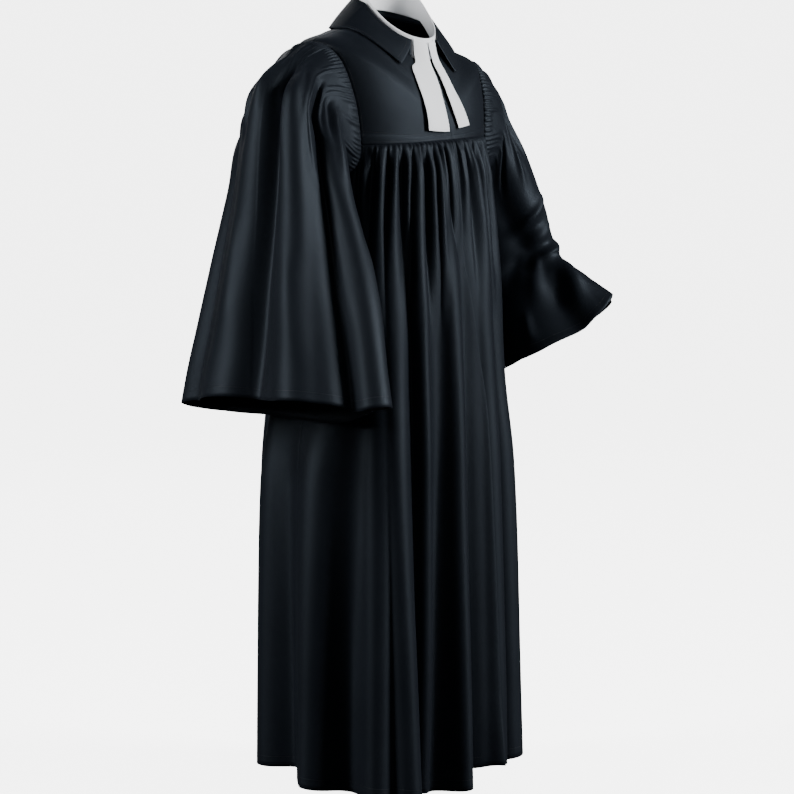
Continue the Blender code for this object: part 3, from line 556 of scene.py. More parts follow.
def curve_through(rows, column, places):
    """Monotone cubic through one column of a table whose first column is the place."""
    knots = np.array([row[0] for row in rows])
    values = np.array([row[column] for row in rows])
    steps = np.diff(knots)
    slopes = np.diff(values) / steps
    tangents = np.zeros(len(knots))
    tangents[0] = slopes[0]
    tangents[-1] = slopes[-1]
    product = slopes[:-1] * slopes[1:]
    same_way = product > 0
    total = np.where(same_way, slopes[:-1] + slopes[1:], 1.0)
    tangents[1:-1] = np.where(same_way, 2.0 * product / total, 0.0)
    places = np.clip(np.asarray(places, float), knots[0], knots[-1])
    spot = np.clip(np.searchsorted(knots, places, side="right") - 1, 0, len(steps) - 1)
    part = (places - knots[spot]) / steps[spot]
    square = part * part
    cube = square * part
    return (values[spot] * (2 * cube - 3 * square + 1)
            + values[spot + 1] * (3 * square - 2 * cube)
            + tangents[spot] * steps[spot] * (cube - 2 * square + part)
            + tangents[spot + 1] * steps[spot] * (cube - square))


def unit(vectors):
    """Vectors of length one."""
    return vectors / np.maximum(np.linalg.norm(vectors, axis=-1, keepdims=True), 1e-12)


def turned(angle):
    """Angle from -180 to 180 degrees."""
    return (angle + 180.0) % 360.0 - 180.0


def body_base(angle, drop):
    """Point of the unfolded gown at an angle from straight ahead, in degrees."""
    angle, drop = np.broadcast_arrays(np.asarray(angle, float), np.asarray(drop, float))
    turn = np.radians(angle)
    side = np.sin(turn)
    ahead = np.cos(turn)
    (z_front, z_side, z_back, half_width, front, back, square, middle_y,
     tilt) = (curve_through(LEVELS, column, drop) for column in range(1, 10))
    depth = np.where(ahead > 0, front, back)
    radius = ((np.abs(side) / half_width) ** square
              + (np.abs(ahead) / depth) ** square) ** (-1.0 / square)
    z_ahead = np.where(ahead > 0, z_front, z_back)
    z = z_side + (z_ahead - z_side) * ahead * ahead
    return np.stack([radius * side, middle_y - radius * ahead, z + tilt * side], axis=-1)


def body_normal(angle, drop):
    """Outward direction of the unfolded gown."""
    drop = np.asarray(drop, float)
    across = body_base(angle + 0.5, drop) - body_base(angle - 0.5, drop)
    lower = np.maximum(drop, 0.004)
    down = body_base(angle, lower + 0.004) - body_base(angle, lower - 0.004)
    edge = body_base(angle, lower) - body_base(angle, lower - 0.004)
    down = np.where(np.linalg.norm(down, axis=-1, keepdims=True) > 1e-9, down, edge)
    return unit(np.cross(down, across))


def armhole_angle(drop, swing):
    """Degrees that the armhole's edge lies forward or back of the side at a drop."""
    level = np.clip((ARMHOLE_MIDDLE - drop) / ARMHOLE_HALF, -1.0, 1.0)
    return swing * np.sqrt(1.0 - level * level) ** ARMHOLE_ROUND


def front_edge(drop):
    """Angle of the front panels' outer edge: shoulder seam, armhole, side seam."""
    return 90.0 - armhole_angle(drop, ARMHOLE_FRONT)


def back_edge(drop):
    """Angle of the back panels' outer edge."""
    return 90.0 + armhole_angle(drop, ARMHOLE_BACK)


def right_front_edge(drop):
    """Angle of the right front panel's outer edge."""
    return -front_edge(drop)


def right_back_edge(drop):
    """Angle of the back panels' edge at the wearer's right."""
    return 360.0 - back_edge(drop)


def opening_angle(drop):
    """Angle of the front opening's edge."""
    return curve_through(OPENING, 1, drop)


def armhole_fade(angle, drop):
    """0 at the armhole's edge, 1 well away from it."""
    away = np.abs(turned(angle))
    swing = np.where(away < 90.0, ARMHOLE_FRONT, ARMHOLE_BACK)
    reach = np.hypot((away - 90.0) / swing, (drop - ARMHOLE_MIDDLE) / ARMHOLE_HALF)
    return ease((reach - 1.0) / 0.3)


def fold(away, half_width, rise, scale):
    """Height of one soft fold, and how far its ridge rolls out over the valleys beside it.

    away and half_width are in degrees, and scale is metres to a degree.
    """
    width = half_width * scale
    off = away * scale
    shape = rise * np.exp(-(off / width) ** 2)
    most = bpy.context.scene.gown_sizes.roundness
    roll = np.minimum(most, 0.32 * width * width / np.maximum(np.abs(rise), 1e-5)) * (rise > 0.0)
    return np.stack([shape, roll * 2.0 * off / (width * width) * shape])


def large_folds(angle, drop):
    """Height and roll of the folds that run down to the hem."""
    total = np.zeros((2, *angle.shape))
    for yoke, cuff, hem, half_width, cuff_height, hem_height in FOLDS:
        course = ((SEAM_DROP, yoke), (0.72, cuff), (HEM_DROP, hem))
        rise = ((SEAM_DROP, 0.0), (0.30, 0.25 * cuff_height), (0.72, cuff_height),
                (1.05, 0.5 * (cuff_height + hem_height)), (HEM_DROP, hem_height))
        away = turned(angle - curve_through(course, 1, drop))
        total = total + fold(away, half_width, 1.35 * curve_through(rise, 1, drop), 0.0038)
    return total


def springing_folds(angle, drop):
    """Height and roll of the folds that leave the gathers and run out above the hem."""
    total = np.zeros((2, *angle.shape))
    for yoke, end, end_drop, half_width, rise in SPRINGS:
        part = np.clip((drop - SEAM_DROP) / (end_drop - SEAM_DROP), 0.0, 1.0)
        away = turned(angle - (yoke + (end - yoke) * part))
        swell = ease(part / 0.16) * (1.0 - ease((part - 0.35) / 0.65))
        total = total + fold(away, half_width * (1.0 + 0.7 * part), 1.5 * rise * swell, 0.0034)
    return total


def soft_waves(first, second, seed, count, size):
    """Faint unevenness of hanging cloth over two lengths in metres."""
    draw = np.random.default_rng(seed)
    height = np.zeros_like(first)
    for _ in range(count):
        across, down = draw.uniform(-26.0, 26.0), draw.uniform(-13.0, 13.0)
        phase = draw.uniform(0.0, 2.0 * np.pi)
        height = height + np.sin(first * across + second * down + phase)
    return height * size / math.sqrt(count)


def body_folds(angle, drop):
    """Height and roll of all folds of the skirt, without the fine gathers."""
    away = np.abs(turned(angle))
    pressed = np.exp(-((away - 90.0) / 30.0) ** 2) * (1.0 - ease((drop - 0.70) / 0.16))
    hanging = large_folds(angle, drop) + springing_folds(angle, drop)
    height, roll = hanging * (1.0 - 0.85 * pressed)
    puff = 0.0035 * ease((drop - SEAM_DROP) / 0.012) * (1.0 - ease((drop - 0.225) / 0.10))
    waves = soft_waves(np.radians(angle) * 0.2, drop, 5, 9, 0.0009) * ease((drop - 0.23) / 0.15)
    fade = armhole_fade(angle, drop)
    return (height + puff + waves) * fade, roll * fade


def fine_gathers(share, count, drop, size, seed):
    """Fine gathers from their seam down: round ridges, narrow valleys, uneven lengths.

    share is 0 and 1 at the seam's two ends, and may run past them lower down.
    """
    draw = np.random.default_rng(seed)
    heights = draw.uniform(0.62, 1.15, count + 1)
    lengths = draw.uniform(0.07, 0.24, count + 1)
    swerve = draw.uniform(-0.35, 0.35, count + 1)
    swerve[0] = swerve[-1] = 0.0
    phase = share * count + np.interp((share % 1.0) * count, np.arange(count + 1), swerve)
    index = np.floor(phase).astype(int) % count
    shape = np.abs(np.sin(np.pi * phase)) ** 0.85
    away = drop - SEAM_DROP
    reach = lengths[index]
    fade = ease(away / 0.005) * (1.0 - ease(away / reach)) ** 1.4
    return size * heights[index] * shape * fade


# Cloth as mesh


def add_object(name, data):
    """Object of a mesh, light or camera, linked to the scene."""
    made = bpy.data.objects.new(name, data)
    bpy.context.scene.collection.objects.link(made)
    return made


def grid_normals(grid, closed):
    """Directions square to a grid of points, rows down and columns across."""
    down = np.gradient(grid, axis=0)
    if closed:
        across = np.roll(grid, -1, axis=1) - np.roll(grid, 1, axis=1)
    else:
        across = np.gradient(grid, axis=1)
    return unit(np.cross(down, across))


def rim_of(rows, columns, closed):
    """Indices of a grid's border, as loops."""
    index = np.arange(rows * columns).reshape(rows, columns)
    if closed:
        return [index[0], index[-1][::-1]]
    return [np.concatenate([index[0, :-1], index[:-1, -1], index[-1, :0:-1], index[:0:-1, 0]])]


def cloth_piece(name, outer, outward, thick, flat, closed=False, thicker=None):
    """Thin wall under a grid of points, with rounded edges and its weave laid flat.

    flat holds the cloth's width and length in metres, and thicker adds to the thickness
    point by point.
    """
    rows, columns = outer.shape[:2]
    normal = grid_normals(outer, closed)
    if np.sum(normal * outward) < 0:
        normal = -normal
    depth = np.full((rows, columns), thick) if thicker is None else thick + thicker
    inner = outer - normal * depth[..., None]
    count = rows * columns
    points = [outer.reshape(-1, 3), inner.reshape(-1, 3)]
    spans = columns if closed else columns - 1
    row_of, column_of = np.meshgrid(np.arange(rows - 1), np.arange(spans), indexing="ij")
    beside = (column_of + 1) % columns
    quads = np.stack([row_of * columns + column_of, row_of * columns + beside,
                      (row_of + 1) * columns + beside, (row_of + 1) * columns + column_of],
                     axis=-1).reshape(-1, 4)
    u = np.linspace(0.0, flat[0], spans + 1)
    v = np.linspace(0.0, flat[1], rows)
    quad_uv = np.stack([np.stack([u[column_of], v[row_of]], -1),
                        np.stack([u[column_of + 1], v[row_of]], -1),
                        np.stack([u[column_of + 1], v[row_of + 1]], -1),
                        np.stack([u[column_of], v[row_of + 1]], -1)], axis=2).reshape(-1, 4, 2)
    faces = [quads, quads[:, ::-1] + count]
    uvs = [quad_uv, quad_uv[:, ::-1]]
    total = 2 * count
    for loop in rim_of(rows, columns, closed):
        edge_out, edge_in = points[0][loop], points[1][loop]
        ahead = np.roll(edge_out, -1, axis=0) - np.roll(edge_out, 1, axis=0)
        away = unit(np.cross(edge_out - edge_in, ahead))
        inside = outer.reshape(-1, 3)[loop] - outer.reshape(-1, 3).mean(axis=0)
        if np.sum(away * inside) < 0:
            away = -away
        middle = 0.5 * (edge_out + edge_in) + away * 0.3 * thick
        points.append(middle)
        ring = total + np.arange(len(loop))
        total += len(loop)
        following = np.roll(np.arange(len(loop)), -1)
        for first, second in ((loop, ring), (ring, loop + count)):
            band = np.stack([first, second, second[following], first[following]], axis=-1)
            faces.append(band)
            uvs.append(np.zeros((len(band), 4, 2)) + np.array([flat[0] * 0.5, 0.0])
                       + np.array([[0.0, 0.0], [0.001, 0.0], [0.001, 0.002], [0.0, 0.002]]))
    points = np.concatenate(points)
    faces = np.concatenate(faces)
    mesh = bpy.data.meshes.new(name)
    mesh.from_pydata(points.tolist(), [], faces.tolist())
    layer = mesh.uv_layers.new(name="cloth")
    layer.data.foreach_set("uv", np.concatenate(uvs).astype(np.float32).ravel())
    facing = np.zeros(len(faces) * 3)
    mesh.polygons.foreach_get("normal", facing)
    sample = slice(0, len(quads))
    if np.sum(facing.reshape(-1, 3)[sample] * normal.reshape(-1, 3)[quads[:, 0]]) < 0:
        mesh.flip_normals()
    mesh.shade_smooth()
    return add_object(name, mesh)


def finish_piece(piece, material, replaced):
    """Give a cloth piece its material, hang it on the body and hide the solid it replaces."""
    piece.data.materials.append(material_of(material))
    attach(piece, BODY)
    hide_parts(replaced)
    return piece


def panel_surface(angle, drop, share, gathers, seed):
    """Points of a gathered panel and its outward directions."""
    sizes = bpy.context.scene.gown_sizes
    base = body_base(angle, drop)
    normal = body_normal(angle, drop)
    across = unit(body_base(angle + 0.3, drop) - body_base(angle - 0.3, drop))
    height, roll = body_folds(angle, drop)
    fine = fine_gathers(share, gathers, drop, sizes.gather, seed) * armhole_fade(angle, drop)
    points = base + normal * (height + fine)[..., None] + across * roll[..., None]
    points[..., 2] += np.interp(turned(angle - 70.0) + 70.0, [row[0] for row in HEM_LINE],
                                [row[1] for row in HEM_LINE]) * ease((drop - 1.15) / 0.25)
    return points, normal


def hem_thickness(place, end):
    """What the turned hem adds to the cloth at a place above its end."""
    return HEM_EXTRA * ease((place - (end - bpy.context.scene.gown_sizes.hem)) / 0.004)


def hem_width(points):
    """Length of a panel's last row of points."""
    return float(np.linalg.norm(np.diff(points[-1], axis=0), axis=-1).sum())


def armhole_foot(swing, count=60):
    """Angles from the side and drops along the armhole's lower quarter, seam level first."""
    turn = np.linspace(0.5 * np.pi, np.pi, count)
    away = swing * np.sin(turn) ** ARMHOLE_ROUND
    away[-1] = 0.0
    drop = ARMHOLE_MIDDLE - ARMHOLE_HALF * np.cos(turn)
    drop[0] = SEAM_DROP
    return away, drop


def top_line(starts, ends, columns, armholes):
    """Shares and drops of a panel's columns along the yoke seam and round the armholes."""
    first, last = float(starts(SEAM_DROP)), float(ends(SEAM_DROP))
    angles = [np.linspace(first, last, 80)]
    drops = [np.full(80, SEAM_DROP)]
    for swing, side, at_start in armholes:
        away, drop = armhole_foot(swing)
        angle = side + away * np.sign(0.5 * (first + last) - side)
        if at_start:
            angles.insert(0, angle[::-1])
            drops.insert(0, drop[::-1])
        else:
            angles.append(angle)
            drops.append(drop)
    angle, drop = np.concatenate(angles), np.concatenate(drops)
    steps = np.hypot(np.diff(angle) * 0.0036, np.diff(drop))
    run = np.concatenate([[0.0], np.cumsum(steps)])
    places = np.linspace(0.0, run[-1], columns + 1)
    angle = np.interp(places, run, angle)
    return (angle - angle[0]) / (angle[-1] - angle[0]), np.interp(places, run, drop)


def skirt_panel(starts, ends, armholes, gathers, columns, rows, seed):
    """One gathered panel of the skirt as a grid of upright columns."""
    top_share, top_drop = top_line(starts, ends, columns, armholes)
    part = np.linspace(0.0, 1.0, rows)[:, None]
    drop = top_drop + (HEM_DROP - top_drop) * (0.42 * part + 0.58 * part ** 2.1)
    low_share = np.linspace(0.0, 1.0, columns + 1)
    share = top_share + (low_share - top_share) * ease((drop - top_drop) / 0.35)
    low = np.maximum(drop, UNDERARM_DROP)
    first = starts(drop) if starts is opening_angle else starts(low)
    angle = first + (ends(low) - first) * share
    points, normal = panel_surface(angle, drop, seam_share(angle, starts, ends), gathers, seed)
    return points, normal, share, drop


def seam_share(angle, starts, ends):
    """Place along the yoke seam that lies above an angle, 0 and 1 at its two ends."""
    first, last = float(starts(SEAM_DROP)), float(ends(SEAM_DROP))
    return (angle - first) / (last - first)


def lapped(points, normal, drop, share, over):
    """Lay the opening's edge over or under its neighbour."""
    edge = np.exp(-(share / 0.045) ** 2)
    upper = 1.0 - 0.35 * ease((drop - 0.36) / 0.3)
    lift = (0.0024 if over else -0.0012) * edge * upper
    gape = 0.006 * edge * ease((drop - 1.24) / 0.16) * (1.0 if over else -1.0)
    return points + normal * (lift + gape)[..., None]


class GOWN_OT_skirt(bpy.types.Operator):
    """Hang the two gathered fronts and the gathered back from the yoke"""

    bl_idname = "gown.skirt"
    bl_label = "Skirt"

    def execute(self, context):
        thick = context.scene.gown_sizes.cloth
        for name, side, ends, seed, flat, area in (
                ("front_left", 1.0, front_edge, LEFT_SEED, (0.38, 1.23), 0.405),
                ("front_right", -1.0, right_front_edge, RIGHT_SEED, (0.58, 1.24), 0.62)):
            points, normal, share, drop = skirt_panel(
                opening_angle, ends, ((ARMHOLE_FRONT, side * 90.0, False),), FRONT_GATHERS,
                160, 190, seed)
            points = lapped(points, normal, drop, share, side < 0)
            piece = cloth_piece(name + "_cloth", points, normal, thick,
                                (hem_width(points), 1.21), thicker=hem_thickness(drop, HEM_DROP))
            finish_piece(piece, "black_twill", name)
        points, normal, _, drop = skirt_panel(
            back_edge, right_back_edge,
            ((ARMHOLE_BACK, 90.0, True), (ARMHOLE_BACK, 270.0, False)), BACK_GATHERS, 228, 180,
            BACK_SEED)
        piece = cloth_piece("back_cloth", points, normal, thick, (hem_width(points), 1.22),
                            thicker=hem_thickness(drop, HEM_DROP))
        finish_piece(piece, "black_twill", "back")
        return {"FINISHED"}


def yoke_relief(angle, drop):
    """Soft drag of the yoke over the shoulders, and the turned edge above its seam."""
    x = np.radians(angle) * 0.16
    waves = soft_waves(x, drop, 21, 7, 0.0005) * ease(drop / 0.05)
    drag = 0.0007 * np.sin(np.radians(angle) * 5.0 + drop * 38.0) * ease((drop - 0.05) / 0.06)
    edge = 0.0011 * ease((drop - 0.1885) / 0.0015)
    return (waves + drag) * (1.0 - ease((drop - 0.16) / 0.03)) + edge


class GOWN_OT_yoke(bpy.types.Operator):
    """Lay the smooth yokes over the shoulders"""

    bl_idname = "gown.yoke"
    bl_label = "Yoke"

    def execute(self, context):
        thick = context.scene.gown_sizes.cloth
        rows = (("yoke_front_left", opening_angle, front_edge, 90, (0.24, 0.26), 0.040),
                ("yoke_front_right", opening_angle, right_front_edge, 90, (0.26, 0.26), 0.046),
                ("yoke_back", back_edge, right_back_edge, 150, (0.44, 0.27), 0.096))
        for name, starts, ends, columns, flat, area in rows:
            drops = np.concatenate([np.linspace(0.0, 0.186, 75),
                                    np.linspace(0.1865, SEAM_DROP, 10)])
            share, drop = np.meshgrid(np.linspace(0.0, 1.0, columns + 1), drops)
            angle = starts(drop) + (ends(drop) - starts(drop)) * share
            normal = body_normal(angle, drop)
            points = body_base(angle, drop) + normal * yoke_relief(angle, drop)[..., None]
            if name != "yoke_back":
                points = lapped(points, normal, drop, share, name == "yoke_front_right")
            piece = cloth_piece(name + "_cloth", points, normal, thick, flat)
            finish_piece(piece, "black_twill", name)
        return {"FINISHED"}


def armhole_point(side, around):
    """Point and outward direction of the armhole's edge; around is in degrees."""
    turn = np.radians(around)
    drop = ARMHOLE_MIDDLE - ARMHOLE_HALF * np.cos(turn)
    forward = np.sin(turn)
    swing = np.where(forward > 0, -ARMHOLE_FRONT, ARMHOLE_BACK)
    angle = side * (90.0 + swing * np.abs(forward) ** ARMHOLE_ROUND)
    return body_base(angle, drop), body_normal(angle, drop)


def sleeve_ring(table, around, along):
    """Point of the unfolded sleeve below its head."""
    turn = np.radians(around)
    values = [curve_through(table, column, along) for column in range(1, 10)]
    middle = np.stack(values[0:3], axis=-1)
    out = np.stack(values[3:6], axis=-1)
    fore = np.stack(values[6:9], axis=-1)
    return middle + out * np.cos(turn)[..., None] + fore * np.sin(turn)[..., None]


def sleeve_base(side, table, around, along):
    """Point of the unfolded sleeve, from the armhole's edge to the cuff."""
    around, along = np.broadcast_arrays(np.asarray(around, float), np.asarray(along, float))
    start, normal = armhole_point(side, around)
    start = start + normal * 0.0003
    end = sleeve_ring(table, around, np.full_like(along, HEAD_END))
    reach = np.linalg.norm(end - start, axis=-1, keepdims=True)
    leave = unit(normal * 0.5 + np.array([side * 0.8, 0.0, -0.1])) * reach
    ahead = sleeve_ring(table, around, np.full_like(along, HEAD_END + 0.01))
    arrive = (ahead - end) / 0.01 * HEAD_END
    part = np.clip(along / HEAD_END, 0.0, 1.0)[..., None]
    head = (start * (2 * part ** 3 - 3 * part ** 2 + 1) + leave * (part ** 3 - 2 * part ** 2 + part)
            + end * (3 * part ** 2 - 2 * part ** 3) + arrive * (part ** 3 - part ** 2))
    return np.where(along[..., None] < HEAD_END, head, sleeve_ring(table, around, along))


def creases(around, along, rows, radius):
    """Height of listed soft ridges and troughs."""
    height = np.zeros_like(around)
    for first, start, last, end, bow, half_width, rise in rows:
        scale = math.radians(radius)
        run = np.array([(last - first) * scale, end - start])
        length = float(np.hypot(*run))
        run = run / length
        across = turned(around - 0.5 * (first + last)) * scale
        down = along - 0.5 * (start + end)
        part = (across * run[0] + down * run[1]) / length + 0.5
        off = across * run[1] - down * run[0] - bow * 4.0 * part * (1.0 - part)
        ends = ease(part / 0.28) * ease((1.0 - part) / 0.42)
        width = half_width * (0.75 + 0.5 * np.clip(part, 0.0, 1.0))
        height = height + rise * ends * np.exp(-(off / width) ** 2)
    return height


def sleeve_folds(folds, rows, around, along, length):
    """Height and roll of all folds of a sleeve, without the pleats."""
    total = np.zeros((2, *around.shape))
    part = along / length
    for head, cuff, half_width, head_height, cuff_height in folds:
        away = turned(around - (head + (cuff - head) * part))
        rise = (head_height + (cuff_height - head_height) * part) * ease((along - 0.03) / 0.10)
        total = total + fold(away, half_width, rise, 0.0027)
    height, roll = total
    waves = soft_waves(np.radians(around) * 0.13, along, 31 + len(rows), 8, 0.0010)
    height = height + 1.1 * creases(around, along, rows, 0.13)
    return height + waves * ease((along - 0.05) / 0.1), roll


def pleats(share, along, size, seed):
    """Fine cartridge pleats of the sleeve head, some of which run on into folds."""
    draw = np.random.default_rng(seed)
    heights = draw.uniform(0.75, 1.1, SLEEVE_PLEATS)
    ends = draw.uniform(0.022, 0.030, SLEEVE_PLEATS)
    long_ones = draw.random(SLEEVE_PLEATS) < 0.25
    ends = np.where(long_ones, draw.uniform(0.05, 0.12, SLEEVE_PLEATS), ends)
    phase = share * SLEEVE_PLEATS
    index = np.floor(phase).astype(int) % SLEEVE_PLEATS
    shape = np.abs(np.sin(np.pi * phase)) ** 0.8
    fade = ease(along / 0.004) * (1.0 - ease((along - 0.013) / (ends[index] - 0.013)))
    return size * heights[index] * shape * fade


def sleeve_surface(side, table, folds, rows, around, along, length):
    """Points of a sleeve without its pleats, and its outward directions."""
    base = sleeve_base(side, table, around, along)
    across = (sleeve_base(side, table, around + 0.5, along)
              - sleeve_base(side, table, around - 0.5, along))
    down = (sleeve_base(side, table, around, along + 0.002)
            - sleeve_base(side, table, around, np.maximum(along - 0.002, 0.0)))
    normal = unit(np.cross(down, across)) * -side
    height, roll = sleeve_folds(folds, rows, around, along, length)
    points = base + normal * height[..., None] + unit(across) * roll[..., None]
    line = RIGHT_HEM if side < 0 else LEFT_HEM
    points[..., 2] += np.interp(around % 360.0, *zip(*line)) * ease((along - length + 0.16) / 0.16)
    return points, normal


class GOWN_OT_sleeves(bpy.types.Operator):
    """Set the bell sleeves on their pleated heads"""

    bl_idname = "gown.sleeves"
    bl_label = "Sleeves"

    def execute(self, context):
        sizes = context.scene.gown_sizes
        for name, side, table, folds, rows, seed, flat, area in (
                ("right", -1.0, RIGHT_SLEEVE, RIGHT_FOLDS, RIGHT_CREASES, 41, (1.20, 0.70), 0.595),
                ("left", 1.0, LEFT_SLEEVE, LEFT_FOLDS, LEFT_CREASES, 42, (0.90, 0.66), 0.405)):
            length = table[-1][0]
            part = np.linspace(0.0, 1.0, 124)
            alongs = length * (0.55 * part + 0.45 * part ** 1.9)
            columns = 4 * SLEEVE_PLEATS
            share, along = np.meshgrid(np.arange(columns) / columns, alongs)
            around = 360.0 * share - math.degrees(HEAD_CROWDING) * np.sin(2.0 * np.pi * share)
            points, normal = sleeve_surface(side, table, folds, rows, around, along, length)
            cap = ease((np.cos(np.radians(around)) + 0.85) / 0.6)
            teeth = pleats(share, along, sizes.pleat, seed) * (0.25 + 0.75 * cap)
            points = points + normal * teeth[..., None]
            piece = cloth_piece("sleeve_" + name + "_cloth", points, normal, sizes.cloth, flat,
                                closed=True, thicker=hem_thickness(along, length))
            finish_piece(piece, "black_twill", "sleeve_" + name)
        return {"FINISHED"}


def collar_ring(angle, inset=0.0, rise=0.0):
    """Point of the collar's fold line, drawn in and raised."""
    turn = np.radians(angle)
    side = np.sin(turn)
    ahead = np.cos(turn)
    depth = np.where(ahead > 0, FOLD_FRONT, FOLD_BACK)
    radius = 1.0 / np.sqrt((side / FOLD_HALF_WIDTH) ** 2 + (ahead / depth) ** 2) - inset
    z_ahead = np.where(ahead > 0, FOLD_Z_FRONT, FOLD_Z_BACK)
    z = FOLD_Z_SIDE + (z_ahead - FOLD_Z_SIDE) * np.abs(ahead)
    return np.stack([radius * side, -radius * ahead, z + rise], axis=-1)


def round_neck(start, share):
    """Angles from the right front round the back to the left front."""
    return -(start + share * (360.0 - 2.0 * start))


def fall_surface(share, part):
    """Point of the turned-down fall; part is 0 on the fold line and 1 at its edge."""
    start = COLLAR_TOP_ANGLE + (COLLAR_POINT_ANGLE - COLLAR_TOP_ANGLE) * part
    angle = round_neck(start, share)
    top = collar_ring(angle)
    foot = body_base(angle, FALL_DROP)
    lift = body_normal(angle, np.full_like(angle, FALL_DROP))
    outward = unit((foot - top) * np.array([1.0, 1.0, 0.0])) + np.array([0.0, 0.0, 0.6])
    bulge = (FALL_BULGE * 4.0 * part * (1.0 - part)
             + 0.0016 * np.sin(share * 41.0 + 2.0 * part) * part * (1.0 - 0.6 * part))
    curl = 0.0022 * part ** 6 * (np.exp(-(share / 0.05) ** 2)
                                 + np.exp(-((1.0 - share) / 0.05) ** 2))
    return (top + (foot + lift * (FALL_LIFT + curl)[..., None] - top) * part[..., None]
            + outward * bulge[..., None])


class GOWN_OT_collar(bpy.types.Operator):
    """Stand the collar up and turn its pointed fall down over it"""

    bl_idname = "gown.collar"
    bl_label = "Collar"

    def execute(self, context):
        thick = context.scene.gown_sizes.cloth
        share, part = np.meshgrid(np.linspace(0.0, 1.0, 161), np.linspace(0.0, 1.0, 12))
        angle = round_neck(COLLAR_TOP_ANGLE, share)
        foot = body_base(angle, 0.0) + body_normal(angle, np.zeros_like(angle)) * 0.0003
        top = collar_ring(angle, inset=0.0026, rise=-0.003)
        points = foot + (top - foot) * part[..., None]
        outward = points * np.array([1.0, 1.0, 0.0])
        piece = cloth_piece("collar_stand_cloth", points, outward, thick, (0.46, 0.045))
        finish_piece(piece, "black_twill", "collar_stand")
        share, part = np.meshgrid(np.linspace(0.0, 1.0, 221), np.linspace(0.0, 1.0, 30))
        points = fall_surface(share, part)
        roll = 0.0022 * np.exp(-(part / 0.05) ** 2)
        points[..., 2] += roll
        outward = points * np.array([1.0, 1.0, 0.0]) + np.array([0.0, 0.0, 0.05])
        piece = cloth_piece("collar_fall_cloth", points, outward, thick * 1.3, (0.62, 0.085),
                            thicker=0.0020 * np.exp(-(part / 0.035) ** 2))
        finish_piece(piece, "black_twill", "collar_fall")
        return {"FINISHED"}


def tab_surface(name, across, part):
    """Point and outward direction of a white tab; across runs from its inner edge."""
    inner_top, outer_top, inner_bottom, outer_bottom, bottom = TABS[name]
    drop = TAB_TOP + (bottom - TAB_TOP) * part
    inner_x = inner_top + (inner_bottom - inner_top) * part
    outer_x = outer_top + (outer_bottom - outer_top) * part
    if name == "right":
        outer_x = (outer_x - RIGHT_TAB_BOW * ease((drop - 0.018) / 0.020)
                   * (1.0 - ease((drop - 0.040) / 0.145)))
    x = inner_x + (outer_x - inner_x) * across
    reach = curve_through(LEVELS, FRONT_DEPTH, np.maximum(drop, 0.0))
    angle = np.degrees(np.arcsin(x / reach))
    over = np.maximum(-drop, 0.0)
    base = (body_base(angle, np.maximum(drop, 0.0))
            + np.stack([0.0 * over, TAB_LEAN * over, over], axis=-1))
    for _ in range(30):
        base[1:-1] = 0.5 * base[1:-1] + 0.25 * (base[:-2] + base[2:])
    normal = grid_normals(base, False)
    if np.sum(normal[..., 1]) > 0:
        normal = -normal
    lift = (0.0034 + 0.0022 * part ** 2 + 0.0010 * np.sin(across * 3.2 + part * 5.0) * part
            + 0.0012 * ease((drop - 0.02) / 0.05))
    return base + normal * lift[..., None], normal


class GOWN_OT_bands(bpy.types.Operator):
    """Set the white neckband and its two hanging tabs"""

    bl_idname = "gown.bands"
    bl_label = "White bands"

    def execute(self, context):
        thick = context.scene.gown_sizes.band_cloth
        share, part = np.meshgrid(np.arange(200) / 200.0, np.linspace(0.0, 1.0, 16))
        rise = BAND_RISE - part * (BAND_RISE + BAND_DEPTH)
        points = collar_ring(360.0 * share, inset=BAND_INSET, rise=rise)
        outward = points * np.array([1.0, 1.0, 0.0])
        edge = 0.0006 * np.exp(-(part / 0.14) ** 2)
        piece = cloth_piece("neckband_cloth", points, outward, thick, (0.45, 0.040), closed=True,
                            thicker=edge)
        finish_piece(piece, "white_cotton", "neckband_white")
        for name in TABS:
            across, part = np.meshgrid(np.linspace(0.0, 1.0, 33), np.linspace(0.0, 1.0, 90))
            points, normal = tab_surface(name, across, part)
            piece = cloth_piece("band_tab_" + name + "_cloth", points, normal, thick,
                                (0.055, 0.215))
            finish_piece(piece, "white_cotton", "band_tab_" + name)
        return {"FINISHED"}


# Stitching


def stitch_line(points, normal, length, spacing):
    """Corners of small padded stitches laid along a line of points."""
    steps = np.linalg.norm(np.diff(points, axis=0), axis=-1)
    run = np.concatenate([[0.0], np.cumsum(steps)])
    places = np.arange(spacing, run[-1] - spacing, spacing)
    def along_line(where, values):
        return np.stack([np.interp(where, run, values[:, k]) for k in range(3)], axis=-1)

    at = along_line(places, points)
    ahead = along_line(places + 0.5 * length, points)
    up = unit(along_line(places, normal))
    along = unit(ahead - at)
    beside = unit(np.cross(along, up))
    half, wide, proud = 0.5 * length, 0.00028, 0.00034
    ring = ((-half, 0.0, -0.0001), (-0.62 * half, wide, 0.00008), (0.62 * half, wide, 0.00008),
            (half, 0.0, -0.0001), (0.62 * half, -wide, 0.00008), (-0.62 * half, -wide, 0.00008),
            (-0.55 * half, 0.0, proud), (0.55 * half, 0.0, proud))
    return np.stack([at + along * a + beside * b + up * c for a, b, c in ring], axis=1)


STITCH_FACES = np.array([(0, 6, 1), (1, 6, 7), (1, 7, 2), (2, 7, 3), (3, 7, 4), (4, 7, 6),
                         (4, 6, 5), (5, 6, 0), (0, 1, 5), (1, 4, 5), (1, 2, 4), (2, 3, 4)])


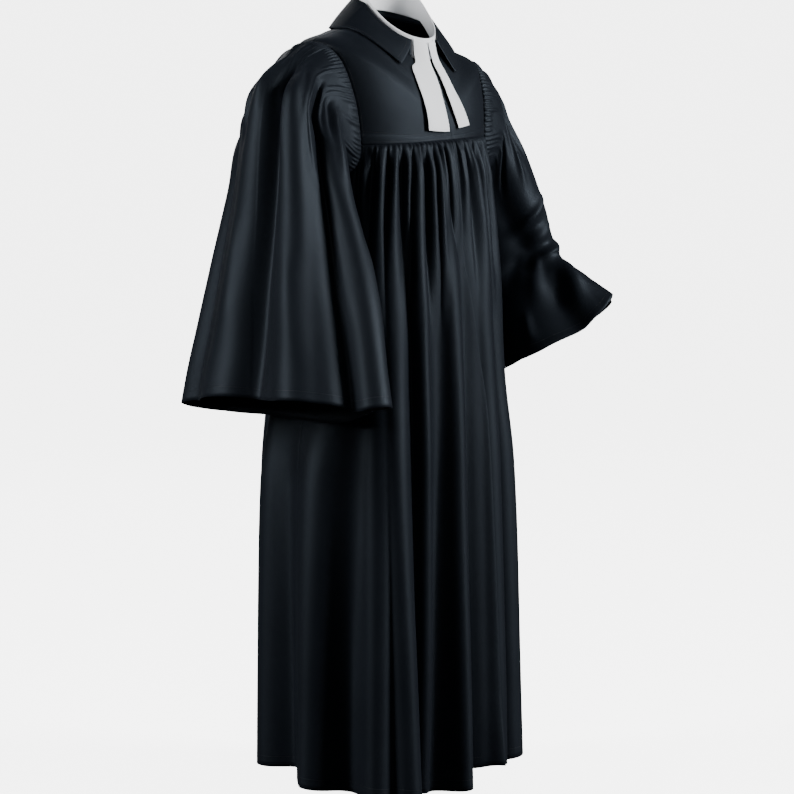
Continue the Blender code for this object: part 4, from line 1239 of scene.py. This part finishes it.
def stitches_piece(name, lines, material):
    """All stitches of one thread as one piece."""
    sizes = bpy.context.scene.gown_sizes
    corners = np.concatenate([stitch_line(points, normal, sizes.stitch, sizes.stitch_gap)
                              for points, normal in lines])
    count = len(corners)
    faces = (STITCH_FACES[None] + 8 * np.arange(count)[:, None, None]).reshape(-1, 3)
    mesh = bpy.data.meshes.new(name)
    mesh.from_pydata(corners.reshape(-1, 3).tolist(), [], faces.tolist())
    mesh.shade_smooth()
    mesh.materials.append(material_of(material))
    piece = add_object(name, mesh)
    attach(piece, BODY)
    return piece


def row_on_body(starts, ends, drop, relief, count=400):
    """Line across the gown's body at one drop."""
    share = np.linspace(0.0, 1.0, count)
    level = np.full(count, drop)
    angle = starts(level) + (ends(level) - starts(level)) * share
    normal = body_normal(angle, level)
    return body_base(angle, level) + normal * relief(angle, level)[:, None], normal


def hem_row(side_share, starts, ends, gathers, seed, drop):
    """Line along a skirt panel near its hem."""
    level = np.full(len(side_share), drop)
    angle = starts(level) + (ends(level) - starts(level)) * side_share
    return panel_surface(angle, level, seam_share(angle, starts, ends), gathers, seed)


def line_normals(points, beside, outward):
    """Outward directions from a line and the line beside it."""
    normal = unit(np.cross(beside - points, np.gradient(points, axis=0)))
    return normal * np.sign(np.sum(normal * outward, axis=-1, keepdims=True))


def fall_grid(share, part):
    """Points of the fall on a small grid, and their outward directions."""
    grid = fall_surface(share, part)
    normal = grid_normals(grid, False)
    return grid, normal * np.sign(np.sum(normal * grid * np.array([1.0, 1.0, 0.3])))


class GOWN_OT_stitching(bpy.types.Operator):
    """Sew the seams, hems, collar and bands"""

    bl_idname = "gown.stitching"
    bl_label = "Stitching"

    def execute(self, context):
        sizes = context.scene.gown_sizes
        black = []
        panels = ((opening_angle, front_edge, FRONT_GATHERS, LEFT_SEED),
                  (opening_angle, right_front_edge, FRONT_GATHERS, RIGHT_SEED),
                  (back_edge, right_back_edge, BACK_GATHERS, BACK_SEED))
        for starts, ends, _, _ in panels:
            for drop in (0.1862, 0.1965):
                black.append(row_on_body(starts, ends, drop, yoke_relief))
        hem_drop = HEM_DROP - sizes.hem
        share = np.linspace(0.0, 1.0, 700)
        for starts, ends, gathers, seed in panels:
            points, _ = hem_row(share, starts, ends, gathers, seed, hem_drop)
            lower, base = hem_row(share, starts, ends, gathers, seed, hem_drop + 0.004)
            black.append((points, line_normals(points, lower, base)))
        around = np.linspace(0.0, 360.0, 900)
        for side, table, folds, rows in ((-1.0, RIGHT_SLEEVE, RIGHT_FOLDS, RIGHT_CREASES),
                                         (1.0, LEFT_SLEEVE, LEFT_FOLDS, LEFT_CREASES)):
            length = table[-1][0]
            along = np.full(len(around), length - sizes.hem)
            points, base = sleeve_surface(side, table, folds, rows, around, along, length)
            lower, _ = sleeve_surface(side, table, folds, rows, around, along + 0.004, length)
            black.append((points, line_normals(points, lower, base)))
        for side in (-1.0, 1.0):
            turn = np.linspace(-150.0, 150.0, 400)
            _, rim_normal = armhole_point(side, turn)
            drop = ARMHOLE_MIDDLE - (ARMHOLE_HALF + STITCH_INSET) * np.cos(np.radians(turn))
            forward = np.sin(np.radians(turn))
            swing = np.where(forward > 0, -ARMHOLE_FRONT - STITCH_SWING,
                             ARMHOLE_BACK + STITCH_SWING)
            angle = side * (90.0 + swing * np.abs(forward) ** ARMHOLE_ROUND)
            points = body_base(angle, drop) + body_normal(angle, drop) * 0.0004
            black.append((points, rim_normal))
        share, part = np.meshgrid(np.linspace(0.012, 0.988, 500), np.array([0.90, 0.93, 0.96]))
        grid, normal = fall_grid(share, part)
        black.append((grid[1], normal[1]))
        for end in (0.016, 0.984):
            share, part = np.meshgrid(np.array([end - 0.004, end, end + 0.004]),
                                      np.linspace(0.05, 0.93, 80))
            grid, normal = fall_grid(share, part)
            black.append((grid[:, 1], normal[:, 1]))
        stitches_piece("stitches_black", black, "thread_black")
        white = []
        for name in TABS:
            for inset in (0.06, 0.94):
                across, part = np.meshgrid(np.array([inset - 0.03, inset, inset + 0.03]),
                                           np.linspace(0.05, 0.97, 120))
                points, normal = tab_surface(name, across, part)
                white.append((points[:, 1], normal[:, 1]))
            across, part = np.meshgrid(np.linspace(0.05, 0.95, 60), np.array([0.96, 0.968, 0.976]))
            points, normal = tab_surface(name, across, part)
            white.append((points[1], normal[1]))
        stitches_piece("stitches_white", white, "thread_white")
        return {"FINISHED"}


# Stage and camera


def area_light(name, place, size, power):
    """White soft box that looks at the lit point."""
    light = bpy.data.lights.new(name, "AREA")
    light.shape = "RECTANGLE"
    light.size, light.size_y = size
    light.energy = power
    light.color = (1.0, 1.0, 1.0)
    lamp = add_object(name, light)
    lamp.location = place
    lamp.rotation_euler = (Vector(LIT_POINT) - Vector(place)).to_track_quat("-Z", "Y").to_euler()


def studio_bowl(name, radius, height, sides=96):
    """Round floor that turns up into a wall without an edge."""
    profile = [(radius * part, height) for part in (0.05, 0.3, 0.7)]
    profile += [(radius * (0.8 + 0.2 * math.sin(t)), height + 0.2 * radius * (1.0 - math.cos(t)))
                for t in np.linspace(0.0, 0.5 * np.pi, 8)]
    profile += [(radius, height + radius)]
    turn = np.linspace(0.0, 2.0 * np.pi, sides, endpoint=False)
    points = [(reach * math.cos(t), reach * math.sin(t), z) for reach, z in profile for t in turn]
    faces = [tuple(range(sides))]
    for ring in range(len(profile) - 1):
        for k in range(sides):
            after = (k + 1) % sides
            faces.append((ring * sides + k, (ring + 1) * sides + k,
                          (ring + 1) * sides + after, ring * sides + after))
    mesh = bpy.data.meshes.new(name)
    mesh.from_pydata(points, [], faces)
    return add_object(name, mesh)


class GOWN_OT_stage(bpy.types.Operator):
    """Set the pale floor, the soft studio light and the camera"""

    bl_idname = "gown.stage"
    bl_label = "Stage"

    def execute(self, context):
        scene = context.scene
        floor = studio_bowl("studio_floor", FLOOR_RADIUS, FLOOR_Z)
        floor.data.materials.append(material_of("studio_floor"))
        floor.visible_diffuse = False
        floor.visible_glossy = False
        world = bpy.data.worlds.new("studio")
        world.use_nodes = True
        set_constants(world.node_tree.nodes["Background"],
                      {"Color": (1.0, 1.0, 1.0, 1.0), "Strength": WORLD_STRENGTH})
        scene.world = world
        for name, (place, size, power) in LIGHTS.items():
            area_light(name, place, size, power)
        turn = math.radians(CAMERA_TURN)
        data = bpy.data.cameras.new("camera")
        data.lens = CAMERA_LENS
        data.sensor_width = CAMERA_SENSOR
        camera = add_object("camera", data)
        place = Vector((-CAMERA_DISTANCE * math.sin(turn), -CAMERA_DISTANCE * math.cos(turn),
                        CAMERA_Z))
        target = Vector((TARGET_ASIDE * math.cos(turn), -TARGET_ASIDE * math.sin(turn), TARGET_Z))
        camera.location = place
        camera.rotation_euler = (target - place).to_track_quat("-Z", "Y").to_euler()
        scene.camera = camera
        return {"FINISHED"}


OPERATORS = (GOWN_OT_yoke, GOWN_OT_skirt, GOWN_OT_sleeves, GOWN_OT_collar, GOWN_OT_bands,
             GOWN_OT_stitching, GOWN_OT_stage)


class GOWN_PT_panel(bpy.types.Panel):
    """Lists the gown's pieces and its stage"""

    bl_idname = "GOWN_PT_panel"
    bl_label = "Geneva Gown"
    bl_space_type = "VIEW_3D"
    bl_region_type = "UI"
    bl_category = "Gown"

    def draw(self, context):
        for operator in OPERATORS:
            self.layout.operator(operator.bl_idname)
        for group in (context.scene.gown_sizes, context.scene.gown_finishes):
            box = self.layout.box()
            for name in group.bl_rna.properties.keys():
                if name not in ("rna_type", "name"):
                    box.prop(group, name)


CLASSES = (GownSizes, GownFinishes, *OPERATORS, GOWN_PT_panel)


def register():
    """Register the classes and the scene's settings."""
    for item in CLASSES:
        bpy.utils.register_class(item)
    bpy.types.Scene.gown_sizes = PointerProperty(type=GownSizes)
    bpy.types.Scene.gown_finishes = PointerProperty(type=GownFinishes)


def unregister():
    """Remove the scene's settings and the classes."""
    del bpy.types.Scene.gown_finishes
    del bpy.types.Scene.gown_sizes
    for item in reversed(CLASSES):
        bpy.utils.unregister_class(item)


def main():
    """Dress the gown piece by piece and set the stage."""
    register()
    bpy.ops.gown.yoke()
    bpy.ops.gown.skirt()
    bpy.ops.gown.sleeves()
    bpy.ops.gown.collar()
    bpy.ops.gown.bands()
    bpy.ops.gown.stitching()
    bpy.ops.gown.stage()


if __name__ == "__main__":
    main()
